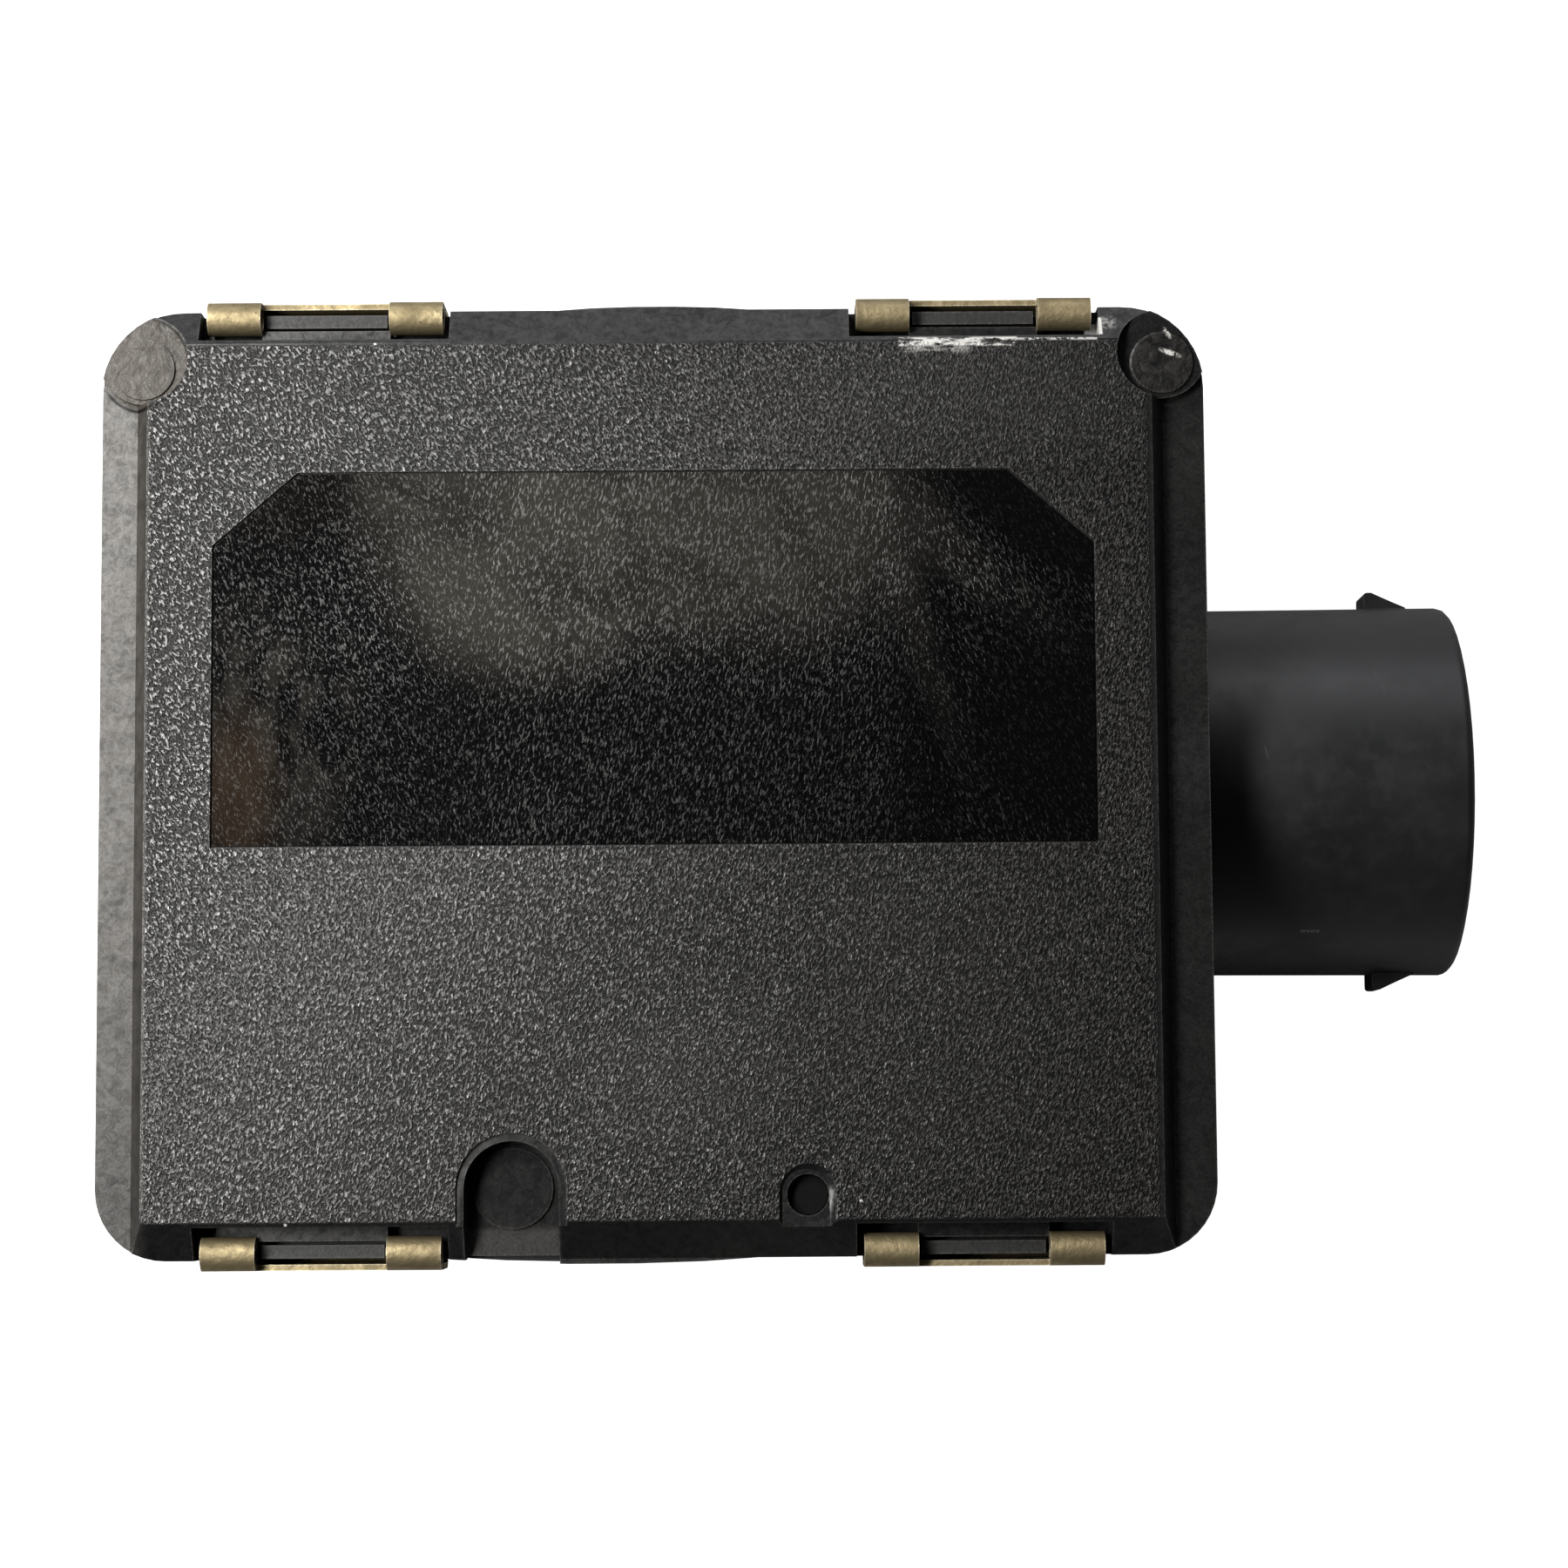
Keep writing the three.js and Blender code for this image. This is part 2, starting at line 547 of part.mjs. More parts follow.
function casePosts() {
  const posts = [
    rod(HUB_BOSS.r, FLOOR_Z - SINK, HUB_BOSS.high, OUTPUT.x, OUTPUT.y, ROUND),
    rod(AXLE_BOSS.r, FLOOR_Z - SINK, AXLE_BOSS.high, FIRST_AXLE.x, FIRST_AXLE.y, SMALL),
    rod(AXLE_BOSS.r, FLOOR_Z - SINK, AXLE_BOSS.high, SECOND_AXLE.x, SECOND_AXLE.y, SMALL),
  ];
  for (const [x, y] of BOARD_POSTS) {
    posts.push(rod(BOARD_POST_R, FLOOR_Z - SINK, BOARD.z - GAP, x, y, SMALL));
  }
  for (const [x, y] of BRACKET_SCREWS) {
    posts.push(rod(BRACKET_POST_R, FLOOR_Z - SINK, BRACKET.low - GAP, x, y, SMALL));
  }
  for (const [x, y] of Object.values(INSERTS)) {
    posts.push(rod(INSERT_POST.r, FLOOR_Z - SINK, INSERT_POST.high, x, y, SMALL));
  }
  return posts;
}

function caseHoles() {
  const boardHoleLow = BOARD.z - BOARD_SCREW.length;
  const bracketHoleLow = BRACKET.low - BRACKET_SCREW.length;
  const holes = [
    rod(SEAL.r + GAP, -OVER, FLOOR_Z + GAP, OUTPUT.x, OUTPUT.y, FINE),
    rod(BUSH.r + GAP, 0, HUB_BOSS.high + OVER, OUTPUT.x, OUTPUT.y, FINE),
    rod(AXLE_R + GAP, AXLE_LOW - GAP, AXLE_BOSS.high + OVER, FIRST_AXLE.x, FIRST_AXLE.y, SMALL),
    rod(AXLE_R + GAP, AXLE_LOW - GAP, AXLE_BOSS.high + OVER, SECOND_AXLE.x, SECOND_AXLE.y, SMALL),
    socketRod(SOCKET_HOLE_R, CASE_HALF_X - CASE_WALL - OVER, CASE_HALF_X + OVER, FINE),
  ];
  for (const [x, y] of BOARD_POSTS) {
    holes.push(rod(BOARD_SCREW.r + GAP, boardHoleLow, BOARD.z + OVER, x, y, TINY));
  }
  for (const [x, y] of BRACKET_SCREWS) {
    holes.push(rod(BRACKET_SCREW.r + GAP, bracketHoleLow, BRACKET.low + OVER, x, y, TINY));
  }
  for (const [x, y] of Object.values(INSERTS)) {
    holes.push(rod(INSERT.r + GAP, -OVER, INSERT.high + GAP, x, y, SMALL));
  }
  return holes;
}

// Ribs between the flange and the long walls, tapering to nothing near the back
function sideRibs() {
  const ribs = [];
  for (const side of [-1, 1]) {
    const root = side * (CASE_HALF_Y - SINK);
    const profile = polygon([
      [root, SIDE_RIB.low],
      [side * CASE_HALF_Y, SIDE_RIB.low],
      [side * (CASE_HALF_Y + SIDE_RIB.reach), CASE_FLANGE_Z + SINK],
      [root, CASE_FLANGE_Z + SINK],
    ]);
    for (const x of SIDE_RIB_XS) {
      ribs.push(prismAlongX(profile, x - SIDE_RIB.thick / 2, x + SIDE_RIB.thick / 2));
    }
  }
  return ribs;
}

function caseTub() {
  const top = PARTING_Z - GAP;
  let body = prism(roundedRect(CASE_HALF_X, CASE_HALF_Y, CASE_CORNER_R), 0, top)
    .add(prism(outlineShape(CASE_FLANGE_INSET), CASE_FLANGE_Z, top));
  for (const rib of sideRibs()) {
    body = body.add(rib);
  }
  forEachClip((x, side) => {
    const { half, inner, outer, top: ribTop } = CASE_RIB;
    body = body.add(sideBlock(x - half, x + half, inner, outer, CASE_FLANGE_Z, ribTop, side));
  });
  const innerX = CASE_HALF_X - CASE_WALL;
  const innerY = CASE_HALF_Y - CASE_WALL;
  body = body.subtract(prism(roundedRect(innerX, innerY, CASE_CORNER_R - CASE_WALL), FLOOR_Z, top + OVER));
  for (const post of casePosts()) {
    body = body.add(post);
  }
  for (const hole of caseHoles()) {
    body = body.subtract(hole);
  }
  const groove = frameRing(GASKET.x, GASKET.y, GASKET.r, GASKET.wide, GASKET.low, top + OVER);
  return body.subtract(groove);
}

function fixingInsert() {
  return tube(INSERT.r, INSERT.holeR, INSERT.low, INSERT.high, SMALL);
}

// ---- Spring clips --------------------------------------------------------------------------------

// Sheet profile in (distance outward, height): hook under the flange, then the upright web
function webShape(top) {
  const outer = ROLL_Y + ROLL_R;
  const inner = outer - CLIP_SHEET;
  const shape = new THREE.Shape();
  shape.moveTo(HOOK_TIP_Y, HOOK_Z);
  shape.lineTo(HOOK_TIP_Y, HOOK_Z - CLIP_SHEET);
  shape.absarc(inner - CLIP_BEND_R, HOOK_Z + CLIP_BEND_R, CLIP_BEND_R + CLIP_SHEET, -Math.PI / 2, 0);
  shape.lineTo(outer, top);
  shape.lineTo(inner, top);
  shape.absarc(inner - CLIP_BEND_R, HOOK_Z + CLIP_BEND_R, CLIP_BEND_R, 0, -Math.PI / 2, true);
  return shape;
}

// The web's upper end rolled into a tube that stops just short of closing
function rollShape() {
  const from = ROLL_SEAM.at;
  const to = from + 2 * Math.PI - ROLL_SEAM.gap;
  const shape = new THREE.Shape();
  shape.absarc(ROLL_Y, ROLL_Z, ROLL_R, from, to);
  shape.absarc(ROLL_Y, ROLL_Z, ROLL_R - CLIP_SHEET, to, from, true);
  return shape;
}

function clip(x, side) {
  let body = prismAlongX(webShape(CLIP_WEB_TOP), x - CLIP_HALF, x + CLIP_HALF);
  for (const [from, to] of [[-CLIP_HALF, -CLIP_WINDOW_HALF], [CLIP_WINDOW_HALF, CLIP_HALF]]) {
    body = body.add(prismAlongX(webShape(ROLL_Z), x + from, x + to));
    body = body.add(prismAlongX(rollShape(), x + from, x + to, FINE_ARC_STEPS));
  }
  return side > 0 ? body : body.mirror([0, 1, 0]);
}

// ---- Plug socket, its seal, nut and contact pins -----------------------------------------------

// A (radius, x) profile turned about the plug socket's axis
function turnedOnSocket(profile, sides) {
  const points = profile.map(([r, x]) => new THREE.Vector2(r, x));
  points.push(points[0].clone());
  const geometry = new THREE.LatheGeometry(points, sides);
  return solid(geometry.rotateZ(-Math.PI / 2).translate(0, SOCKET_Y, SOCKET_Z));
}

function latchRamp(side) {
  const { start, top, end, height, half, round, belly } = LATCH;
  const foot = SOCKET.r - SINK;
  const peak = SOCKET.r + height;
  const shape = new THREE.Shape();
  shape.moveTo(start, foot);
  shape.lineTo(end, foot);
  shape.lineTo(end, SOCKET.r - GAP);
  shape.quadraticCurveTo((top + end) / 2, SOCKET.r + height * belly, top, peak);
  shape.lineTo(start + round, peak);
  shape.quadraticCurveTo(start, peak, start, peak - round);
  const ramp = prism(shape, -half, half);
  const placed = side > 0 ? ramp : ramp.mirror([0, 1, 0]);
  return placed.translate([0, SOCKET_Y, SOCKET_Z]);
}

// Offsets of the pins from the socket axis: one in the middle and a ring of six
function pinOffsets() {
  const offsets = [{ dy: 0, dz: 0 }];
  for (let i = 0; i < PIN.count; i += 1) {
    const angle = (Math.PI * i) / 3;
    offsets.push({ dy: PIN.ringR * Math.cos(angle), dz: PIN.ringR * Math.sin(angle) });
  }
  return offsets;
}

// The rounded outer edge of the socket's mouth, as (radius, x) points
function socketRim() {
  const { r, steps } = SOCKET_RIM;
  const points = [];
  for (let i = 0; i <= steps; i += 1) {
    const angle = (Math.PI / 2) * (i / steps);
    points.push([SOCKET.r - r + r * Math.cos(angle), SOCKET.mouth - r + r * Math.sin(angle)]);
  }
  return points;
}

function plugSocket() {
  const { rootR, boreR, mouth, collar, face } = SOCKET;
  const shell = [[boreR, collar], [rootR, collar], ...socketRim(), [boreR, mouth]];
  let body = turnedOnSocket(shell, SOCKET_SIDES)
    .add(socketRod(boreR + SINK, collar, face, SOCKET_SIDES))
    .add(socketRod(SPIGOT.r, SPIGOT.inner, collar + SINK, FINE))
    .add(latchRamp(1))
    .add(latchRamp(-1))
    .subtract(socketRod(boreR, face, mouth + OVER, SOCKET_SIDES));
  for (const { dy, dz } of pinOffsets()) {
    body = body.subtract(socketRod(PIN.r + PIN.clearance, SPIGOT.inner - OVER, face + OVER, SMALL, dy, dz));
  }
  return body;
}

function socketSeal() {
  const outer = CASE_HALF_X + GAP;
  return turnedOnSocket([
    [SPIGOT.r + GAP, outer], [SOCKET_SEAL_R, outer],
    [SOCKET_SEAL_R, SOCKET.collar - GAP], [SPIGOT.r + GAP, SOCKET.collar - GAP],
  ], FINE);
}

function socketNut() {
  const cornerR = NUT.acrossFlats / 2 / Math.cos(Math.PI / 6);
  const blank = socketRod(cornerR, NUT.x, NUT.x + NUT.thick, HEX);
  return blank.subtract(socketRod(NUT.boreR, NUT.x - OVER, NUT.x + NUT.thick + OVER, FINE));
}

// The x of the upright tail of a pin. Higher pins turn up nearer the socket.
function tailX(dz) {
  const row = Math.round((2 * dz) / PIN.ringR);
  return PIN_TAIL.x + row * PIN_TAIL.rowStep;
}

// A round pin whose square tail turns up through the board
function contactPin(dy, dz) {
  const { bendR, start: tailStart, overrun, half: t } = PIN_TAIL;
  const bendX = tailX(dz);
  const pin = socketRod(PIN.r, PIN.shoulder, PIN.tip, SMALL, dy, dz);
  const path = new THREE.CurvePath();
  const start = new THREE.Vector3(tailStart, 0, 0);
  const beforeBend = new THREE.Vector3(bendX + bendR, 0, 0);
  const corner = new THREE.Vector3(bendX, 0, 0);
  const afterBend = new THREE.Vector3(bendX, 0, bendR);
  const end = new THREE.Vector3(bendX, 0, BOARD.z + BOARD.thick + overrun - SOCKET_Z - dz);
  path.add(new THREE.LineCurve3(start, beforeBend));
  path.add(new THREE.QuadraticBezierCurve3(beforeBend, corner, afterBend));
  path.add(new THREE.LineCurve3(afterBend, end));
  const section = polygon([[-t, -t], [t, -t], [t, t], [-t, t]]);
  const settings = { steps: 2 * ARC_STEPS, extrudePath: path, bevelEnabled: false };
  const tail = solid(new THREE.ExtrudeGeometry(section, settings));
  return pin.add(tail.translate([0, SOCKET_Y + dy, SOCKET_Z + dz]));
}

// ---- Circuit board and its parts -----------------------------------------------------------------

function circuitBoard() {
  const halfX = (BOARD.right - BOARD.left) / 2;
  const centreX = (BOARD.right + BOARD.left) / 2;
  const under = BOARD.z - OVER;
  const above = BOARD.z + BOARD.thick + OVER;
  let body = prism(roundedRect(halfX, BOARD.halfY, BOARD.corner), BOARD.z, BOARD.z + BOARD.thick)
    .translate([centreX, 0, 0]);
  for (const [x, y] of BOARD_POSTS) {
    body = body.subtract(rod(BOARD_SCREW.r + SCREW_CLEARANCE, under, above, x, y, SMALL));
  }
  const reach = PIN_TAIL.half + PIN_TAIL.clearance;
  for (const { dy, dz } of pinOffsets()) {
    const x = tailX(dz);
    const y = SOCKET_Y + dy;
    body = body.subtract(block(x - reach, x + reach, y - reach, y + reach, under, above));
  }
  return body;
}

// A box that stands on the board's upper face
function onBoard({ x, y, sizeX, sizeY, high }) {
  return block(x - sizeX / 2, x + sizeX / 2, y - sizeY / 2, y + sizeY / 2, BOARD_TOP, BOARD_TOP + high);
}

function capacitor([x, y]) {
  return rod(CAPACITOR.r, BOARD_TOP, BOARD_TOP + CAPACITOR.high, x, y);
}

function inductor() {
  const { x, y, coilR, coilHigh } = INDUCTOR;
  return onBoard(INDUCTOR).add(rod(coilR, BOARD_TOP, BOARD_TOP + coilHigh, x, y));
}

function positionSensor() {
  const { halfX, halfY, thick } = POSITION_SENSOR;
  const high = BOARD.z - GAP;
  return block(OUTPUT.x - halfX, OUTPUT.x + halfX, OUTPUT.y - halfY, OUTPUT.y + halfY, high - thick, high);
}

// A screw along +Z or -Z whose head rests at z = seat; direction +1 puts the head above
function screw({ headR, headH, r, length }, x, y, seat, direction) {
  const at = (a, b) => (direction > 0 ? [seat + a, seat + b] : [seat - b, seat - a]);
  const socketLow = headH * SCREW_SOCKET_SHARE;
  const head = rod(headR, ...at(GAP, GAP + headH), x, y, SMALL);
  const shank = rod(r, ...at(-length, socketLow), x, y, TINY);
  const socket = rod(headR * SCREW_SOCKET_SHARE, ...at(socketLow, headH + OVER), x, y, HEX);
  return head.add(shank).subtract(socket);
}

// ---- Motor, bracket and leads --------------------------------------------------------------------

function motorScrewPlaces() {
  const across = STAGE_1.angle + Math.PI / 2;
  return [-1, 1].map((side) => [
    MOTOR_AXIS.x + side * MOTOR_SCREW.spread * Math.cos(across),
    MOTOR_AXIS.y + side * MOTOR_SCREW.spread * Math.sin(across),
  ]);
}

function motorBracket() {
  let plate = prism(polygon(BRACKET_OUTLINE), BRACKET.low, BRACKET.high);
  const through = (r, x, y, sides) => rod(r, BRACKET.low - OVER, BRACKET.high + OVER, x, y, sides);
  plate = plate.subtract(through(MOTOR.noseR + SCREW_CLEARANCE, MOTOR_AXIS.x, MOTOR_AXIS.y, ROUND));
  plate = plate.subtract(through(AXLE_R + GAP, FIRST_AXLE.x, FIRST_AXLE.y, SMALL));
  for (const [x, y] of BRACKET_SCREWS) {
    plate = plate.subtract(through(BRACKET_SCREW.r + SCREW_CLEARANCE, x, y, SMALL));
  }
  for (const [x, y] of motorScrewPlaces()) {
    plate = plate.subtract(through(MOTOR_SCREW.r + SCREW_CLEARANCE, x, y, SMALL));
  }
  return plate;
}

function motorCan() {
  const { r, wall, high, noseR, noseLow, shaftR } = MOTOR;
  const face = BRACKET.high + GAP;
  const bore = shaftR + SHAFT_CLEARANCE;
  let can = turned([
    [bore, noseLow], [noseR, noseLow], [noseR, face], [r, face], [r, high],
    [r - wall, high], [r - wall, face + wall], [bore, face + wall], [bore, noseLow],
  ], FINE).translate([MOTOR_AXIS.x, MOTOR_AXIS.y, 0]);
  for (const [x, y] of motorScrewPlaces()) {
    can = can.subtract(rod(MOTOR_SCREW.r + SHAFT_CLEARANCE, face - OVER, face + wall + OVER, x, y, SMALL));
  }
  return can;
}

function motorEndCap() {
  const { r, wall, high } = MOTOR;
  const plug = rod(r - wall - GAP, high - END_CAP.plug, high + SINK, 0, 0, FINE);
  return rod(r, high + GAP, END_CAP.high, 0, 0, FINE).add(plug);
}

function armature() {
  return tube(ARMATURE.r, MOTOR.shaftR + GAP, ARMATURE.low, ARMATURE.high);
}

function motorLead(side) {
  const y = MOTOR_AXIS.y + side * LEAD.spread;
  const boardTop = BOARD.z + BOARD.thick;
  const path = new THREE.CatmullRomCurve3([
    ...LEAD_FROM_CAP.map(([dx, dz]) => new THREE.Vector3(MOTOR_AXIS.x + dx, y, END_CAP.high + dz)),
    ...LEAD_TO_BOARD.map(([dx, dz]) => new THREE.Vector3(BOARD.left + dx, y, boardTop + dz)),
  ]);
  const section = new THREE.Shape();
  section.absarc(0, 0, LEAD.r, 0, 2 * Math.PI);
  const sides = { steps: LEAD.steps, curveSegments: LEAD.arcSteps };
  return solid(new THREE.ExtrudeGeometry(section, { ...sides, extrudePath: path, bevelEnabled: false }));
}

// ---- Output hub ----------------------------------------------------------------------------------

function outputHub() {
  const { r, low, hexR, hexHigh, stemR, stemHigh } = HUB;
  const shoulder = OUTPUT.low - GAP;
  const half = DRIVE.side / 2;
  return rod(r, low, shoulder, 0, 0, FINE)
    .add(rod(hexR, shoulder - SINK, hexHigh, 0, 0, HEX))
    .add(rod(stemR, hexHigh - SINK, stemHigh))
    .subtract(block(-half, half, -half, half, low - OVER, low + DRIVE.deep));
}

function hubClip() {
  const { r, high, slot } = HUB_CLIP;
  const low = HUB.hexHigh + GAP;
  const opening = block(0, r + OVER, -slot / 2, slot / 2, low - OVER, high + OVER);
  return tube(r, HUB.stemR + GAP, low, high).subtract(opening);
}

// ---- Assembly ------------------------------------------------------------------------------------

const unit = new THREE.Group();

function place(name, manifold, material, at = { x: 0, y: 0 }) {
  const mesh = new THREE.Mesh(geometryOf(manifold), material);
  mesh.name = name;
  mesh.position.set(at.x, at.y, 0);
  unit.add(mesh);
}

place('cover', cover(), PLASTIC);
place('rating_label', ratingLabel(), FILM);
place('vent_membrane', ventMembrane(), MEMBRANE);
place('case', caseTub(), PLASTIC);
place('cover_gasket', coverGasket(), RUBBER);

forEachClip((x, side) => {
  const name = `clip_${side > 0 ? 'top' : 'bottom'}_${x < 0 ? 'left' : 'right'}`;
  place(name, clip(x, side), BRONZE);
});

place('plug_socket', plugSocket(), SATIN_PLASTIC);
place('socket_seal', socketSeal(), RUBBER);
place('socket_nut', socketNut(), ZINC);
pinOffsets().forEach(({ dy, dz }, i) => {
  place(`contact_pin_${i + 1}`, contactPin(dy, dz), BRASS);
});

place('circuit_board', circuitBoard(), BOARD_GREEN);
place('controller_chip', onBoard(CONTROLLER_CHIP), CHIP);
place('driver_chip', onBoard(DRIVER_CHIP), CHIP);
place('position_sensor', positionSensor(), CHIP);
place('capacitor_left', capacitor(CAPACITORS.left), ALUMINIUM);
place('capacitor_right', capacitor(CAPACITORS.right), ALUMINIUM);
place('inductor', inductor(), FERRITE);
BOARD_POSTS.forEach(([x, y], i) => {
  place(`board_screw_${i + 1}`, screw(BOARD_SCREW, x, y, BOARD.z + BOARD.thick, 1), ZINC);
});

place('motor_bracket', motorBracket(), ZINC);
BRACKET_SCREWS.forEach(([x, y], i) => {
  place(`bracket_screw_${i + 1}`, screw(BRACKET_SCREW, x, y, BRACKET.high, 1), ZINC);
});
place('motor_can', motorCan(), STEEL);
place('motor_end_cap', motorEndCap(), CHIP, MOTOR_AXIS);
place('motor_shaft', rod(MOTOR.shaftR, MOTOR_PINION.low, MOTOR.shaftHigh, 0, 0, SMALL), STEEL, MOTOR_AXIS);
place('motor_armature', armature(), COPPER, MOTOR_AXIS);
place('motor_pinion', motorPinion(), BRASS, MOTOR_AXIS);
motorScrewPlaces().forEach(([x, y], i) => {
  place(`motor_screw_${i + 1}`, screw(MOTOR_SCREW, x, y, BRACKET.low, -1), ZINC);
});
place('motor_lead_1', motorLead(-1), RED_LEAD);
place('motor_lead_2', motorLead(1), BLACK_LEAD);

place('first_idler_gear', firstIdlerGear(), GREY_GEAR, FIRST_AXLE);
place('first_idler_axle', rod(AXLE_R, AXLE_LOW, BRACKET.high + AXLE_END, 0, 0, SMALL), STEEL, FIRST_AXLE);
place('second_idler_gear', secondIdlerGear(), GREY_GEAR, SECOND_AXLE);
place('second_idler_axle', rod(AXLE_R, AXLE_LOW, AXLE_CLIP.high + AXLE_END, 0, 0, SMALL), STEEL, SECOND_AXLE);
place('axle_clip', tube(AXLE_CLIP.r, AXLE_R + GAP, AXLE_CLIP.low, AXLE_CLIP.high, SMALL), STEEL, SECOND_AXLE);

place('output_gear', outputGear(), GREY_GEAR, OUTPUT);
place('output_hub', outputHub(), STEEL, OUTPUT);
place('hub_clip', hubClip(), STEEL, OUTPUT);
place('position_magnet', rod(MAGNET.r, HUB.stemHigh + GAP, MAGNET.high), STEEL, OUTPUT);
place('output_bush', tube(BUSH.r, HUB.r + RUNNING, BUSH.low, HUB_BOSS.high, FINE), BRONZE, OUTPUT);
place('shaft_seal', tube(SEAL.r, HUB.r + RUNNING, SEAL.low, FLOOR_Z, FINE), RUBBER, OUTPUT);

for (const [side, [x, y]] of Object.entries(INSERTS)) {
  place(`fixing_insert_${side}`, fixingInsert(), BRASS, { x, y });
}

export default unit;
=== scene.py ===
import json
import math

import bmesh
import bpy
from mathutils import Matrix, Vector


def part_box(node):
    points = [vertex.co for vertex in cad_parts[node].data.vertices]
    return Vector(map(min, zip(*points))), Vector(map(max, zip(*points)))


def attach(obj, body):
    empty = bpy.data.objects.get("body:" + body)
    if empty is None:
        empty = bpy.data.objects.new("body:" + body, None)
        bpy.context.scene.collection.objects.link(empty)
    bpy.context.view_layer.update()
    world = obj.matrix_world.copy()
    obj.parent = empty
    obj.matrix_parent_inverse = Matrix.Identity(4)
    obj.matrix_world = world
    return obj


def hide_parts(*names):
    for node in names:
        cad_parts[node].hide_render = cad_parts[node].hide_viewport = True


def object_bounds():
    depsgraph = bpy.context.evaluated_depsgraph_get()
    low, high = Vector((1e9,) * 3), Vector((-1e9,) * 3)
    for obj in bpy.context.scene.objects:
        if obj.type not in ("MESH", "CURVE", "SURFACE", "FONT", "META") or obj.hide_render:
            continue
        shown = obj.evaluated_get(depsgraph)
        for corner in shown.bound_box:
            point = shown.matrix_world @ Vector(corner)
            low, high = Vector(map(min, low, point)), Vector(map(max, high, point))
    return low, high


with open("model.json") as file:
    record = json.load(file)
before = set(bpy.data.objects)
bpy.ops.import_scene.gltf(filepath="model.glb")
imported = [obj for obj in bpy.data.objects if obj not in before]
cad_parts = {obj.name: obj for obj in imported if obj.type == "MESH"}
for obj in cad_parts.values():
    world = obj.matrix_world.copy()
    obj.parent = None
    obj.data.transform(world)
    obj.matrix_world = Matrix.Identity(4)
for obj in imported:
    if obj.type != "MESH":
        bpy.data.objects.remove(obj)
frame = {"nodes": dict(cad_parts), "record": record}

# The looks of a vent flap drive unit. Blender's units are metres. The materials count places and sizes in
# millimetres in the part's own frame, and MM turns them into metres.

MM = 0.001
CAD_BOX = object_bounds()
SLOT_OF = {part["node"]: part["material_slot"] for part in frame["record"]["subparts"]}
BODY_OF = {node: body for body, nodes in frame["record"]["behaviour"]["bodies"].items() for node in nodes}


def seen_from_above(node):
    """The left, bottom, right and top of a node, in millimetres."""
    low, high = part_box(node)
    return low.x / MM, low.y / MM, high.x / MM, high.y / MM


LEFT, BOTTOM, RIGHT, TOP = seen_from_above("cover")
COVER_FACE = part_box("cover")[1].z / MM

# The textured plateau of the cover, the pocket and the pad in its corners, and the notch in its lower edge
PLATEAU_LEFT = LEFT + 4.05
PLATEAU_RIGHT = RIGHT - 4.85
PLATEAU_BOTTOM = BOTTOM + 3.43
PLATEAU_TOP = TOP - 3.49
LEFT_POCKET = (LEFT + 3.55, TOP - 4.79)
LEFT_POCKET_HALF = (3.70, 3.85)
RIGHT_PAD = (RIGHT - 3.55, TOP - 5.29)
RIGHT_PAD_HALF = (2.6, 2.6)
NOTCH = (LEFT + 34.4, BOTTOM + 4.18)
NOTCH_HALF = (4.4, 6)
NOTCH_MOUTH = ((LEFT + 30.55, BOTTOM + 0.18), (LEFT + 38.25, BOTTOM + 2.88))

LABEL_LEFT, LABEL_BOTTOM, LABEL_RIGHT, LABEL_TOP = seen_from_above("rating_label")
LABEL_X = (LABEL_LEFT + LABEL_RIGHT) / 2
LABEL_Y = (LABEL_BOTTOM + LABEL_TOP) / 2

SOCKET_BOTTOM, SOCKET_RIGHT, SOCKET_TOP = seen_from_above("plug_socket")[1:]
SOCKET_Y = (SOCKET_BOTTOM + SOCKET_TOP) / 2

# ---- Building a node material ---------------------------------------------------------------------


